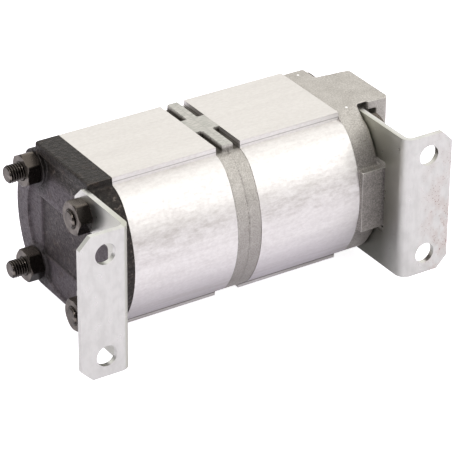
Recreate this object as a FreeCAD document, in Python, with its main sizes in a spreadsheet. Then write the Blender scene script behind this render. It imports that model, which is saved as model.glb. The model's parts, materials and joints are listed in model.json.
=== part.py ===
import FreeCAD, Part
import math
import os
import Sketcher

# Two-section rotary gear flow divider with two mounting brackets.
# The origin is the centre of the four bracket holes, on the mounting plane.
# X runs along the shaft from the plain end cover to the port cover, +Z is up,
# and the divider stands off the mounting plane towards +Y.

doc = FreeCAD.newDocument("FlowDivider")

# Driving dimensions in millimetres, with angles in degrees.
DIMENSIONS = (
    ("body_length", 63.0, "one gear body along the shaft"),
    ("plate_thickness", 7.5, "one intermediate plate"),
    ("cover_thickness", 14.5, "flange of either cover"),
    ("half_width", 50.5, "section: axis to the round side"),
    ("side_radius", 56.0, "section: round side"),
    ("shoulder_radius", 17.7, "section: corner over a stud"),
    ("shoulder_height", 34.0, "section: where the side turns into the corner"),
    ("pad_half_width", 28.0, "half width of a port face"),
    ("pad_rise", 4.05, "port face over the top of the shoulders"),
    ("pad_foot_spread", 0.4, "draft of a port face's flank"),
    ("port_cover_half_width", 25.6, "half width of the port cover's top"),
    ("port_foot_spread", 7.4, "slope from the port cover's top to its round side"),
    ("edge_radius", 1.2, "rounded edges of the castings"),
    ("port_rim_radius", 2.4, "rounded rim of the port cover's flange"),
    ("foot_radius", 1.6, "castings: fillet at the foot of a port face's flank"),
    ("plate_rib", 3.4, "rib left along a plate's top"),
    ("plate_land", 15.0, "full-thickness land in the middle of a plate's top"),
    ("stud_spacing_wide", 59.0, "tie studs across the section"),
    ("stud_spacing_high", 58.0, "tie studs up the section"),
    ("stud_diameter", 10.0, "tie stud"),
    ("stud_hole", 11.0, "clearance hole for a stud"),
    ("stud_chamfer", 1.0, "chamfer of a stud's end"),
    ("stud_long_end", 8.7, "rear stud beyond its nut at the end cover"),
    ("stud_short_end", 1.6, "other stud ends beyond their nuts"),
    ("stud_port_end", 0.8, "front stud beyond its nut at the port cover"),
    ("nut_flats", 17.0, "nut across flats"),
    ("nut_height", 8.0, "nut height"),
    ("nut_face", 16.0, "flat face of a nut inside its bevel"),
    ("thread_fit", 0.02, "gap between a nut and its stud"),
    ("axis_height", 71.5, "mounting plane to the middle of the section"),
    ("sheet", 3.0, "bracket sheet"),
    ("bracket_height", 84.0, "bracket from bottom to top"),
    ("leg_past_stud", 10.0, "clamped leg beyond the studs' axes"),
    ("ear_height", 20.5, "clamped leg: height of the ear round each stud"),
    ("web_gap", 2.5, "web between the ears, short of the section's round side"),
    ("window_radius", 1.5, "clamped leg: inner corners of the window between the ears"),
    ("bracket_leg", 30.0, "mounting leg, from the cover outwards"),
    ("bracket_chamfer", 6.5, "bracket corners"),
    ("bend_radius", 3.0, "inside of the bend"),
    ("mount_hole", 12.0, "mounting hole"),
    ("mount_hole_offset", 15.0, "cover face to a mounting hole"),
    ("mount_hole_spacing", 60.0, "mounting holes of one bracket"),
    ("gear_module", 2.9, "gear module"),
    ("gear_teeth", 12, "teeth of each gear"),
    ("pressure_angle", 25.0, "gear pressure angle"),
    ("dedendum_ratio", 1.2, "tooth root depth in modules"),
    ("backlash", 0.12, "play between the flanks at the pitch circle"),
    ("tip_clearance", 0.05, "gap between the teeth and the body"),
    ("side_clearance", 0.05, "gap between a gear and a bearing block"),
    ("block_length", 18.0, "bearing block along the shaft"),
    ("block_clearance", 0.05, "gap between a bearing block and the body"),
    ("journal_diameter", 18.0, "gear journal"),
    ("journal_clearance", 0.04, "oil gap round a journal"),
    ("journal_relief", 0.5, "journal end short of its block's outer face"),
    ("bush_wall", 1.5, "bearing bush wall"),
    ("bush_fit", 0.02, "gap round a bush in its block"),
    ("tongue_width", 7.0, "drive tongue on a journal's end"),
    ("tongue_length", 5.0, "drive tongue"),
    ("tongue_clearance", 0.05, "gap round a tongue in its slot"),
    ("coupling_diameter", 20.0, "shaft coupling"),
    ("coupling_gap", 0.2, "gap at each end of the coupling"),
    ("coupling_bore", 22.0, "bore for the coupling in the plates"),
    ("gallery_diameter", 13.0, "inlet gallery through the stack"),
    ("gallery_height", 14.5, "gallery axis over the shaft plane"),
    ("outlet_bore", 18.6, "outlet port, thread core"),
    ("outlet_depth", 16.0, "outlet port's thread depth"),
    ("outlet_passage", 15.0, "passage from an outlet port to the gears"),
    ("outlet_face", 30.0, "spot face of an outlet port"),
    ("inlet_bore", 24.1, "inlet port, thread core"),
    ("inlet_depth", 20.0, "inlet port's thread depth"),
    ("inlet_passage", 18.0, "passage over the inlet port"),
    ("passage_overrun", 2.0, "passage drilled on past the gallery"),
    ("inlet_face", 28.0, "spot face of the inlet port"),
    ("face_depth", 0.8, "depth of a port's spot face"),
    ("inlet_across", 3.0, "inlet port in front of the middle of the section"),
    ("inlet_along", 4.5, "inlet port beyond the port cover's flange"),
    ("block_start", 4.5, "port block's near side, from the flange's inner face"),
    ("block_reach", 21.5, "port block beyond the flange"),
    ("block_front", 25.0, "port block in front of the middle of the section"),
    ("block_back", 14.0, "port block behind the middle of the section"),
    ("block_fall", 1.2, "slope of the port block's top"),
    ("block_corner", 4.0, "port block: radius of its front corner"),
    ("block_rear_corner", 1.8, "port block: radius of its rear corner"),
    ("relief_play", 0.5, "reliefs in the port block, beyond the clamped leg's end"),
    ("leg_relief_depth", 7.0, "relief beside the clamped leg, beyond the flange"),
    ("leg_relief_top", 39.8, "relief beside the clamped leg: inner end of its sloping top"),
    ("nut_relief_depth", 12.5, "relief beside the nuts, beyond the flange"),
    ("nut_relief_top", 39.2, "relief beside the nuts: its flat top"),
    ("side_pad_rise", 1.2, "flat pad on the port cover's side, over the round side"),
    ("side_pad_height", 36.0, "flat pad on the port cover's side"),
    ("side_pad_margin", 0.8, "pad kept back from the flange's inner face"),
    ("seal_width", 2.4, "sealing ring"),
    ("seal_height", 1.7, "sealing ring"),
    ("seal_groove_play", 0.1, "groove wider and deeper than its seal"),
    ("seal_wall", 2.3, "body wall inside the sealing ring"),
    ("balance_seal_radius", 15.0, "balance seal round a bush, mid line"),
    ("balance_seal_middle", 7.4, "balance seal below the shaft plane at its middle"),
    ("balance_seal_start_angle", 100.0, "balance seal's open end"),
    ("balance_seal_turn_angle", 322.0, "balance seal's turn towards the middle"),
    ("relief_width", 7.0, "oil relief pocket in a block's gear face"),
    ("relief_height", 2.6, "oil relief pocket"),
    ("relief_offset", 5.2, "oil relief pocket from the shaft plane"),
    ("relief_depth", 1.5, "oil relief pocket"),
    ("dowel_diameter", 4.0, "dowel pin"),
    ("dowel_fit", 0.02, "gap round a dowel pin"),
    ("dowel_depth", 6.0, "dowel pin in each piece"),
    ("dowel_end_gap", 0.3, "hole deeper than its dowel"),
    ("dowel_wall", 1.68, "wall between a dowel's hole and the sealing ring's groove"),
    ("recess_radius", 38.0, "end cover: recess inside the round rim"),
    ("recess_depth", 1.2, "end cover: depth of the recess"),
    ("groove_top", 39.5, "end cover: groove under the top rim"),
    ("groove_half_width", 26.0, "end cover: half length of the groove"),
    ("groove_depth", 2.8, "end cover: depth of the groove"),
    ("slope_foot", 33.5, "end cover: slope from the groove's floor"),
    ("slope_crest", 16.5, "end cover: top of the slope"),
    ("crest_depth", 0.2, "end cover: the slope's top below the rim"),
    ("panel_top", 14.0, "end cover: sunk panel, upper edge"),
    ("panel_bottom", 21.0, "end cover: sunk panel, lower edge"),
    ("panel_half_width", 24.8, "end cover: half width of the sunk panel"),
    ("panel_depth", 2.4, "end cover: sunk panel"),
    ("stud_boss", 21.0, "end cover: round seat under a nut"),
)

sheet = doc.addObject("Spreadsheet::Sheet", "Sizes")
for row, (alias, number, note) in enumerate(DIMENSIONS, start=1):
    sheet.set("A%d" % row, note)
    sheet.set("B%d" % row, str(number))
    sheet.setAlias("B%d" % row, alias)
doc.recompute()

X_AXIS = FreeCAD.Vector(1, 0, 0)
Y_AXIS = FreeCAD.Vector(0, 1, 0)
Z_AXIS = FreeCAD.Vector(0, 0, 1)
NO_TURN = FreeCAD.Rotation()
ALONG_X = FreeCAD.Rotation(Y_AXIS, 90)
TINY = 1e-9


class Size:
    """A length with the sheet expression that gives it, so that a sketch keeps its link to the sheet."""

    def __init__(self, value, text):
        self.value = float(value)
        self.text = text

    def __add__(self, other):
        other = as_size(other)
        return Size(self.value + other.value, "(%s + %s)" % (self.text, other.text))

    def __sub__(self, other):
        other = as_size(other)
        return Size(self.value - other.value, "(%s - %s)" % (self.text, other.text))

    def __mul__(self, other):
        other = as_size(other)
        return Size(self.value * other.value, "(%s * %s)" % (self.text, other.text))

    def __truediv__(self, other):
        other = as_size(other)
        return Size(self.value / other.value, "(%s / %s)" % (self.text, other.text))

    def __neg__(self):
        return Size(-self.value, "(0 - %s)" % self.text)


def as_size(number):
    """Give a plain number the form of a Size."""
    return number if isinstance(number, Size) else Size(number, "%.9g" % number)


def root(size):
    """Square root of a Size."""
    return Size(math.sqrt(size.value), "sqrt(%s)" % size.text)


def polar(radius, degrees):
    """Both coordinates of a point at this distance and direction."""
    angle = math.radians(degrees.value)
    across = Size(radius.value * math.cos(angle), "(%s * cos(%s))" % (radius.text, degrees.text))
    upward = Size(radius.value * math.sin(angle), "(%s * sin(%s))" % (radius.text, degrees.text))
    return across, upward


class Dimensions:
    """The sheet's cells, each read by its alias."""

    def __init__(self):
        for alias, number, note in DIMENSIONS:
            setattr(self, alias, Size(sheet.get(alias), "Sizes." + alias))


d = Dimensions()
ZERO = as_size(0)

# Places along the shaft.
stack_half = d.body_length + d.plate_thickness + d.cover_thickness
body_outer_end = d.body_length + d.plate_thickness
section_middle = d.plate_thickness + d.body_length / 2
nut_front_seat = stack_half + d.sheet

# Gears, their bores and their bearings.
gear_offset = d.gear_module * d.gear_teeth / 2
tip_radius = d.gear_module * (d.gear_teeth + 2) / 2
cavity_radius = tip_radius + d.tip_clearance
gear_width = d.body_length - d.block_length * 2 - d.side_clearance * 2
journal_radius = d.journal_diameter / 2
bush_inner = journal_radius + d.journal_clearance
bush_outer = bush_inner + d.bush_wall
drive_y = d.axis_height - gear_offset
driven_y = d.axis_height + gear_offset

# The section shared by bodies, plates and covers: the round side, then the corner arc over a stud.
side_centre = d.half_width - d.side_radius
shoulder_y = side_centre + root(d.side_radius * d.side_radius - d.shoulder_height * d.shoulder_height)
inward_share = d.shoulder_radius / d.side_radius
corner_y = shoulder_y - (shoulder_y - side_centre) * inward_share
corner_z = d.shoulder_height - d.shoulder_height * inward_share
section_bottom = corner_z + d.shoulder_radius
pad_height = section_bottom + d.pad_rise
leg_inner_end = d.leg_past_stud - d.stud_spacing_wide / 2

# The dowels stand outside the sealing ring's groove.
seal_inner = cavity_radius + d.seal_wall
seal_groove_outer = seal_inner + d.seal_width + d.seal_groove_play / 2
dowel_hole_radius = d.dowel_diameter / 2 + d.dowel_fit
dowel_position = gear_offset + seal_groove_outer + d.dowel_wall + dowel_hole_radius

SIDES = (-1, 1)
STUD_PLACES = [(across, upward) for across in SIDES for upward in SIDES]


def plane_of(body, role):
    """One of the body's own origin planes."""
    return next(item for item in body.Origin.OriginFeatures if item.Role == role)


def new_body(name):
    """An empty body with its own label."""
    body = doc.addObject("PartDesign::Body", name)
    body.Label = name
    return body


def new_sketch(body, name, role="YZ_Plane", offset=None):
    """A sketch on one of the body's origin planes, or parallel to it at this offset."""
    sketch = body.newObject("Sketcher::SketchObject", body.Name + "_" + name)
    sketch.AttachmentSupport = [(plane_of(body, role), "")]
    sketch.MapMode = "FlatFace"
    if offset is not None:
        sketch.AttachmentOffset = FreeCAD.Placement(Z_AXIS * offset.value, NO_TURN)
        sketch.setExpression("AttachmentOffset.Base.z", offset.text)
    return sketch


def bind(sketch, index, size):
    """Link one dimension of a sketch to the sheet."""
    sketch.setExpression("Constraints[%d]" % index, size.text)


def fix_point(sketch, edge, end, point):
    """Dimension a point from the sketch's axes, its geometry -1 and -2; a coordinate given as None stays free."""
    kinds = (("DistanceX", -2), ("DistanceY", -1))
    for (kind, axis), size in zip(kinds, point):
        if size is None:
            continue
        if abs(size.value) < TINY:
            sketch.addConstraint(Sketcher.Constraint("PointOnObject", edge, end, axis))
        else:
            rule = Sketcher.Constraint(kind, -1, 1, edge, end, size.value)
            bind(sketch, sketch.addConstraint(rule), size)


def near(first, second):
    """True where two lengths agree."""
    return abs(first - second) < 1e-4


def vector(point):
    """A sketch point as a vector."""
    return FreeCAD.Vector(point[0].value, point[1].value, 0)


def add_circle(sketch, centre, radius):
    """A dimensioned circle."""
    circle = Part.Circle(vector(centre), Z_AXIS, radius.value)
    edge = sketch.addGeometry(circle, False)
    fix_point(sketch, edge, 3, centre)
    bind(sketch, sketch.addConstraint(Sketcher.Constraint("Radius", edge, radius.value)), radius)


def add_outline(sketch, corners, arcs=None):
    """A closed outline, where arcs gives for some edges (centre, radius, counter-clockwise).

    A half circle here has its ends one above the other, so its centre's place across fixes it.
    """
    arcs = arcs or {}
    ends = []
    for number, corner in enumerate(corners):
        first = vector(corner)
        second = vector(corners[(number + 1) % len(corners)])
        if number not in arcs:
            edge = sketch.addGeometry(Part.LineSegment(first, second), False)
            ends.append((edge, 1, 2))
            continue
        centre, radius, forward = arcs[number]
        middle = vector(centre)
        start, stop = (first, second) if forward else (second, first)
        begin = math.atan2(start.y - middle.y, start.x - middle.x)
        finish = math.atan2(stop.y - middle.y, stop.x - middle.x)
        circle = Part.Circle(middle, Z_AXIS, radius.value)
        edge = sketch.addGeometry(Part.ArcOfCircle(circle, begin, finish), False)
        ends.append((edge, 1, 2) if forward else (edge, 2, 1))
        if near(first.distanceToPoint(second), radius.value * 2):
            fix_point(sketch, edge, 3, (centre[0], None))
        else:
            bind(sketch, sketch.addConstraint(Sketcher.Constraint("Radius", edge, radius.value)), radius)
    for number, (edge, head, tail) in enumerate(ends):
        following, next_head, next_tail = ends[(number + 1) % len(ends)]
        sketch.addConstraint(Sketcher.Constraint("Coincident", edge, tail, following, next_head))
        fix_point(sketch, edge, head, corners[number])


def add_box(sketch, low, high):
    """A rectangle between two corners."""
    add_outline(sketch, [(low[0], low[1]), (high[0], low[1]), (high[0], high[1]), (low[0], high[1])])


def volume_of(body):
    """Volume of the body as it stands."""
    doc.recompute()
    return body.Shape.Volume


def pad(body, sketch, length, middle=False, backward=False):
    """Extrude a sketch, from its plane or about it."""
    feature = body.newObject("PartDesign::Pad", sketch.Name + "_pad")
    feature.Profile = sketch
    feature.Length = length.value
    feature.setExpression("Length", length.text)
    feature.Midplane = middle
    feature.Reversed = backward
    doc.recompute()
    return feature


def pocket(body, sketch, depth=None, forward=False, middle=False):
    """Cut a sketch out of the body: this deep, or through all. Forward is along the sketch's normal."""
    before = volume_of(body)
    feature = body.newObject("PartDesign::Pocket", sketch.Name + "_cut")
    feature.Profile = sketch
    feature.Reversed = forward
    feature.Midplane = middle
    if depth is None:
        feature.Type = "ThroughAll"
    else:
        feature.Type = "Length"
        feature.Length = depth.value
        feature.setExpression("Length", depth.text)
    if volume_of(body) > before - TINY:
        raise ValueError("%s removes nothing" % feature.Name)
    return feature


def edges_where(body, test):
    """Names of the body's edges that pass the test on their box."""
    return ["Edge%d" % (number + 1) for number, edge in enumerate(body.Shape.Edges) if test(edge.BoundBox)]


def round_edges(body, name, radius, test, kind="Fillet"):
    """Round or bevel the edges that pass the test."""
    names = edges_where(body, test)
    if not names:
        raise ValueError("%s finds no edge" % name)
    base = body.Tip
    feature = body.newObject("PartDesign::" + kind, body.Name + "_" + name)
    feature.Base = (base, names)
    amount = "Radius" if kind == "Fillet" else "Size"
    setattr(feature, amount, radius.value)
    feature.setExpression(amount, radius.text)
    doc.recompute()
    return feature


def place(item, x=ZERO, y=ZERO, z=ZERO, turn=NO_TURN):
    """Put a piece where the sheet says."""
    item.Placement = FreeCAD.Placement(FreeCAD.Vector(x.value, y.value, z.value), turn)
    for axis, size in (("x", x), ("y", y), ("z", z)):
        item.setExpression("Placement.Base." + axis, size.text)


def stud_points():
    """Centres of the four studs in the section."""
    return [(d.stud_spacing_wide / 2 * across, d.stud_spacing_high / 2 * upward) for across, upward in STUD_PLACES]


def cut_holes(body, name, centres, radius, depth=None, forward=True, offset=None):
    """Round holes along the shaft."""
    sketch = new_sketch(body, name, offset=offset)
    for centre in centres:
        add_circle(sketch, centre, radius)
    return pocket(body, sketch, depth, forward)


def cut_dowel_holes(body, name, depth=None, offset=None):
    """The two dowel holes: into the near face, or with an offset into the far one."""
    centres = [(dowel_position * side, ZERO) for side in SIDES]
    cut_holes(body, name, centres, dowel_hole_radius, depth, offset is None, offset)


def foot_of(half_top, spread):
    """Where the flank of a port face meets the rounded shoulder."""
    foot_y = half_top + spread
    foot_z = corner_z + root(d.shoulder_radius * d.shoulder_radius - (foot_y - corner_y) * (foot_y - corner_y))
    return foot_y, foot_z


def section_outline(sketch, half_top, spread, bottom_pad):
    """The section with its top port face, and with a bottom one or a plain flat bottom."""
    foot_y, foot_z = foot_of(half_top, spread)
    corners = [
        (shoulder_y, -d.shoulder_height),
        (shoulder_y, d.shoulder_height),
        (foot_y, foot_z),
        (half_top, pad_height),
        (-half_top, pad_height),
        (-foot_y, foot_z),
        (-shoulder_y, d.shoulder_height),
        (-shoulder_y, -d.shoulder_height),
    ]
    arcs = {
        0: ((side_centre, ZERO), d.side_radius, True),
        1: ((corner_y, corner_z), d.shoulder_radius, True),
        5: ((-corner_y, corner_z), d.shoulder_radius, True),
        6: ((-side_centre, ZERO), d.side_radius, True),
        7: ((-corner_y, -corner_z), d.shoulder_radius, True),
    }
    if bottom_pad:
        corners += [(-foot_y, -foot_z), (-half_top, -pad_height), (half_top, -pad_height), (foot_y, -foot_z)]
    else:
        corners += [(-corner_y, -section_bottom), (corner_y, -section_bottom)]
    arcs[len(corners) - 1] = ((corner_y, -corner_z), d.shoulder_radius, True)
    add_outline(sketch, corners, arcs)


def eight_outline(sketch, radius):
    """Two overlapping circles round the gear axes."""
    waist = root(radius * radius - gear_offset * gear_offset)
    corners = [(ZERO, -waist), (ZERO, waist)]
    arcs = {0: ((gear_offset, ZERO), radius, True), 1: ((-gear_offset, ZERO), radius, True)}
    add_outline(sketch, corners, arcs)


def track_outline(sketch, radius):
    """A track-shaped loop round both gear axes."""
    corners = [(gear_offset, -radius), (gear_offset, radius), (-gear_offset, radius), (-gear_offset, -radius)]
    arcs = {0: ((gear_offset, ZERO), radius, True), 2: ((-gear_offset, ZERO), radius, True)}
    add_outline(sketch, corners, arcs)


def seal_loop(sketch, play):
    """The sealing ring's section in its plane, with this much play on each side."""
    track_outline(sketch, seal_inner + d.seal_width + play)
    track_outline(sketch, seal_inner - play)


def cut_seal_groove(body, name, offset=None):
    """A groove for the sealing ring: in the near face, or with an offset in the far one."""
    sketch = new_sketch(body, name, offset=offset)
    seal_loop(sketch, d.seal_groove_play / 2)
    pocket(body, sketch, d.seal_height + d.seal_groove_play, forward=offset is None)


def cut_port(body, name, centre, radius, depth):
    """A round hole upwards from the bottom port face."""
    sketch = new_sketch(body, name, "XY_Plane", depth - pad_height)
    add_circle(sketch, centre, radius)
    pocket(body, sketch)


def gear_body(name, start):
    """Extruded gear body with its figure-eight chamber, gallery, outlet port and seal grooves."""
    body = new_body(name)
    outline = new_sketch(body, "section")
    section_outline(outline, d.pad_half_width, d.pad_foot_spread, True)
    pad(body, outline, d.body_length)
    chamber = new_sketch(body, "chamber")
    eight_outline(chamber, cavity_radius)
    pocket(body, chamber, forward=True)
    cut_holes(body, "gallery", [(ZERO, d.gallery_height)], d.gallery_diameter / 2)
    cut_holes(body, "stud_holes", stud_points(), d.stud_hole / 2)
    cut_seal_groove(body, "groove_left")
    cut_seal_groove(body, "groove_right", d.body_length)
    dowel_hole = d.dowel_depth + d.dowel_end_gap
    cut_dowel_holes(body, "dowels_left", dowel_hole)
    cut_dowel_holes(body, "dowels_right", dowel_hole, d.body_length)
    outlet = (d.body_length / 2, ZERO)
    cut_port(body, "outlet_passage", outlet, d.outlet_passage / 2, pad_height)
    cut_port(body, "outlet", outlet, d.outlet_bore / 2, d.outlet_depth)
    cut_port(body, "outlet_face", outlet, d.outlet_face / 2, d.face_depth)
    place(body, start, d.axis_height)
    return body


def intermediate_plate(name, start, first):
    """Plate between the bodies: a rib and a land stand up to the port face, the rest of the top is sunk."""
    body = new_body(name)
    outline = new_sketch(body, "section")
    section_outline(outline, d.pad_half_width, d.pad_foot_spread, False)
    pad(body, outline, d.plate_thickness)
    cut_holes(body, "stud_holes", stud_points(), d.stud_hole / 2)
    cut_holes(body, "gallery", [(ZERO, d.gallery_height)], d.gallery_diameter / 2)
    cut_holes(body, "coupling_bore", [(-gear_offset, ZERO)], d.coupling_bore / 2)
    cut_dowel_holes(body, "dowels")
    sunk_from = ZERO if first else d.plate_rib
    sunk_to = d.plate_thickness - d.plate_rib if first else d.plate_thickness
    sunk = new_sketch(body, "top_pockets", "XY_Plane", section_bottom)
    land = d.plate_land / 2
    beyond = d.pad_half_width + d.pad_foot_spread + d.edge_radius
    add_box(sunk, (sunk_from, land), (sunk_to, beyond))
    add_box(sunk, (sunk_from, -beyond), (sunk_to, -land))
    pocket(body, sunk, forward=True)
    if first:
        cut_seal_groove(body, "groove", d.plate_thickness)
    place(body, start, d.axis_height)
    return body


def round_casting(body, half_top, spread, face, rim_radius):
    """Round the foot of a cast cover's port face, then the rim round its outer face."""
    foot_y, foot_z = foot_of(half_top, spread)

    def on_foot(box):
        across = near(abs(box.YMin), foot_y.value) and near(box.YMin, box.YMax)
        return across and near(box.ZMin, foot_z.value) and near(box.ZMax, foot_z.value)

    round_edges(body, "feet", d.foot_radius, on_foot)
    round_edges(body, "rim_edge", rim_radius, lambda box: near(box.XMin, face) and near(box.XMax, face))


def end_cover(name):
    """Cast plain cover: a rim and four nut seats, a recess with a slope under a groove, and a sunk panel."""
    body = new_body(name)
    outline = new_sketch(body, "section")
    section_outline(outline, d.pad_half_width, d.pad_foot_spread, False)
    pad(body, outline, d.cover_thickness)
    round_casting(body, d.pad_half_width, d.pad_foot_spread, 0, d.edge_radius)
    recess = new_sketch(body, "recess")
    add_circle(recess, (ZERO, ZERO), d.recess_radius)
    pocket(body, recess, d.recess_depth, forward=True)
    groove = new_sketch(body, "groove")
    add_box(groove, (-d.groove_half_width, d.panel_top), (d.groove_half_width, d.groove_top))
    pocket(body, groove, d.groove_depth, forward=True)
    slope = new_sketch(body, "slope", "XZ_Plane")
    corners = [
        (d.groove_depth, d.panel_top),
        (d.groove_depth, d.slope_foot),
        (d.crest_depth, d.slope_crest),
        (d.crest_depth, d.panel_top),
    ]
    add_outline(slope, corners)
    pad(body, slope, d.groove_half_width * 2, middle=True)
    panel = new_sketch(body, "panel")
    add_box(panel, (-d.panel_half_width, -d.panel_bottom), (d.panel_half_width, d.panel_top))
    pocket(body, panel, d.panel_depth, forward=True)
    seats = new_sketch(body, "nut_seats")
    for centre in stud_points():
        add_circle(seats, centre, d.stud_boss / 2)
    pad(body, seats, d.groove_depth)
    cut_holes(body, "stud_holes", stud_points(), d.stud_hole / 2)
    cut_dowel_holes(body, "dowels", d.dowel_depth + d.dowel_end_gap, d.cover_thickness)
    place(body, -stack_half, d.axis_height)
    return body


def port_cover(name):
    """Cast cover with the inlet block, the gallery to the bodies and a boss with a flat pad on its front side."""
    body = new_body(name)
    outline = new_sketch(body, "section")
    section_outline(outline, d.port_cover_half_width, d.port_foot_spread, False)
    pad(body, outline, d.cover_thickness)
    face = d.cover_thickness.value
    round_casting(body, d.port_cover_half_width, d.port_foot_spread, face, d.port_rim_radius)
    block_end = d.cover_thickness + d.block_reach
    block = new_sketch(body, "block", "XY_Plane", -pad_height)
    add_box(block, (d.block_start, -d.block_front), (block_end, d.block_back))
    pad(body, block, pad_height * 2)
    top = new_sketch(body, "block_top", "XZ_Plane")
    above = pad_height + d.block_fall
    corners = [(d.cover_thickness, pad_height), (block_end, pad_height - d.block_fall)]
    corners += [(block_end, above), (d.cover_thickness, above)]
    add_outline(top, corners)
    pocket(body, top, middle=True)
    upright_corners = (("front", d.block_corner, -d.block_front), ("rear", d.block_rear_corner, d.block_back))
    for side, radius, y in upright_corners:

        def on_corner(box):
            at_end = near(box.XMin, block_end.value) and near(box.XMax, block_end.value)
            return at_end and near(box.YMin, y.value) and near(box.YMax, y.value)

        round_edges(body, "block_corner_" + side, radius, on_corner)
    wall = leg_inner_end + d.relief_play
    sloping = [(wall, d.leg_relief_top), (-d.block_front, pad_height), (-d.half_width, pad_height)]
    flat = [(wall, d.nut_relief_top), (-d.half_width, d.nut_relief_top)]
    reliefs = (("leg_relief", d.leg_relief_depth, sloping), ("nut_relief", d.nut_relief_depth, flat))
    for relief_name, depth, roof in reliefs:
        relief = new_sketch(body, relief_name, offset=d.cover_thickness)
        add_outline(relief, [(-d.half_width, -d.half_width), (wall, -d.half_width)] + roof)
        pocket(body, relief, depth, forward=True)
    side_pad = new_sketch(body, "side_pad", "XY_Plane")
    add_box(side_pad, (d.side_pad_margin, -d.half_width - d.side_pad_rise), (block_end, wall))
    pad(body, side_pad, d.side_pad_height, middle=True)
    inlet_x = d.cover_thickness + d.inlet_along
    inlet = (inlet_x, -d.inlet_across)
    cut_port(body, "inlet", inlet, d.inlet_bore / 2, d.inlet_depth)
    cut_port(body, "inlet_face", inlet, d.inlet_face / 2, d.face_depth)
    passage_top = d.gallery_height + d.gallery_diameter / 2 + d.passage_overrun
    cut_port(body, "inlet_passage", inlet, d.inlet_passage / 2, pad_height + passage_top)
    cut_holes(body, "gallery", [(ZERO, d.gallery_height)], d.gallery_diameter / 2, inlet_x)
    cut_holes(body, "stud_holes", stud_points(), d.stud_hole / 2, d.cover_thickness)
    cut_dowel_holes(body, "dowels", d.dowel_depth + d.dowel_end_gap)
    place(body, body_outer_end, d.axis_height)
    return body


def bracket(name, turn):
    """Bent sheet bracket: one leg has two ears clamped by the front studs, the other is bolted down."""
    body = new_body(name)
    profile = new_sketch(body, "profile", "XY_Plane")
    inner = -stack_half
    outer = inner - d.sheet
    bend_x = outer - d.bend_radius
    bend_y = d.sheet + d.bend_radius
    leg_end = inner - d.bracket_leg
    reach = d.axis_height + leg_inner_end
    corners = [(inner, reach), (outer, reach), (outer, bend_y), (bend_x, d.sheet)]
    corners += [(leg_end, d.sheet), (leg_end, ZERO), (bend_x, ZERO), (inner, bend_y)]
    bend = (bend_x, bend_y)
    add_outline(profile, corners, {2: (bend, d.bend_radius, False), 6: (bend, bend_y, True)})
    pad(body, profile, d.bracket_height, middle=True)
    holes = new_sketch(body, "mount_holes", "XZ_Plane")
    for side in SIDES:
        centre = (inner - d.mount_hole_offset, d.mount_hole_spacing / 2 * side)
        add_circle(holes, centre, d.mount_hole / 2)
    pocket(body, holes)
    stud_y = d.axis_height - d.stud_spacing_wide / 2
    centres = [(stud_y, d.stud_spacing_high / 2 * side) for side in SIDES]
    cut_holes(body, "stud_holes", centres, d.stud_hole / 2, forward=False)
    window = new_sketch(body, "window")
    web_end = d.axis_height - d.half_width - d.web_gap
    half_window = d.bracket_height / 2 - d.ear_height
    add_box(window, (web_end, -half_window), (reach + d.sheet, half_window))
    pocket(body, window, middle=True)

    def in_window(box):
        at_web = near(box.YMin, web_end.value) and near(box.YMax, web_end.value)
        return at_web and near(abs(box.ZMin), half_window.value) and near(box.ZMin, box.ZMax)

    round_edges(body, "window_corners", d.window_radius, in_window)
    top = d.bracket_height.value / 2

    def on_corner(box):
        level = near(box.ZMin, box.ZMax) and near(abs(box.ZMax), top)
        on_leg = near(box.XMin, leg_end.value) and near(box.XMax, leg_end.value)
        on_clamp = near(box.YMin, reach.value) and near(box.YMax, reach.value)
        return level and (on_leg or on_clamp)

    round_edges(body, "corners", d.bracket_chamfer, on_corner, "Chamfer")
    place(body, turn=turn)
    return body


def involute_angle(ratio):
    """Involute function, from the ratio of a radius to the base radius."""
    slope = math.sqrt(max(ratio * ratio - 1, 0))
    return slope - math.atan(slope)


def tooth_outline(name):
    """Closed outline of the gear's teeth as a face in the YZ plane, a tooth pointing along +Y."""
    teeth = int(d.gear_teeth.value)
    pitch = gear_offset.value
    tip = tip_radius.value
    base = pitch * math.cos(math.radians(d.pressure_angle.value))
    root_radius = pitch - d.dedendum_ratio.value * d.gear_module.value
    half_at_pitch = math.pi / (2 * teeth) - d.backlash.value / (4 * pitch)
    half_at_base = half_at_pitch + involute_angle(pitch / base)
    steps = 5
    radii = [base + (tip - base) * step / steps for step in range(steps + 1)]

    def point(radius, angle):
        return FreeCAD.Vector(0, radius * math.cos(angle), radius * math.sin(angle))

    edges = []
    for tooth in range(teeth):
        middle = 2 * math.pi * tooth / teeth
        following = middle + 2 * math.pi / teeth
        flanks = []
        for side in SIDES:
            shares = [(radius, half_at_base - involute_angle(radius / base)) for radius in radii]
            flanks.append([point(radius, middle + side * angle) for radius, angle in shares])
        low, high = flanks
        for flank, side in ((low, -1), (high, 1)):
            curve = Part.BSplineCurve()
            curve.interpolate(flank)
            edges.append(curve.toShape())
            foot = point(root_radius, middle + side * half_at_base)
            edges.append(Part.makeLine(foot, flank[0]))
        edges.append(Part.Arc(low[-1], point(tip, middle), high[-1]).toShape())
        foot = point(root_radius, middle + half_at_base)
        between = point(root_radius, (middle + following) / 2)
        edges.append(Part.Arc(foot, between, point(root_radius, following - half_at_base)).toShape())
    wire = Part.Wire(Part.__sortEdges__(edges))
    outline = doc.addObject("Part::Feature", name + "_outline")
    outline.Shape = Part.Face(wire)
    outline.Placement = FreeCAD.Placement(X_AXIS * (-gear_width.value / 2), NO_TURN)
    outline.setExpression("Placement.Base.x", (-gear_width / 2).text)
    return outline


def cylinder_along_x(name, start, length, radius):
    """A cylinder on the piece's own shaft line."""
    item = doc.addObject("Part::Cylinder", name)
    item.setExpression("Radius", radius.text)
    item.setExpression("Height", length.text)
    place(item, start, turn=ALONG_X)
    return item


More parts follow.
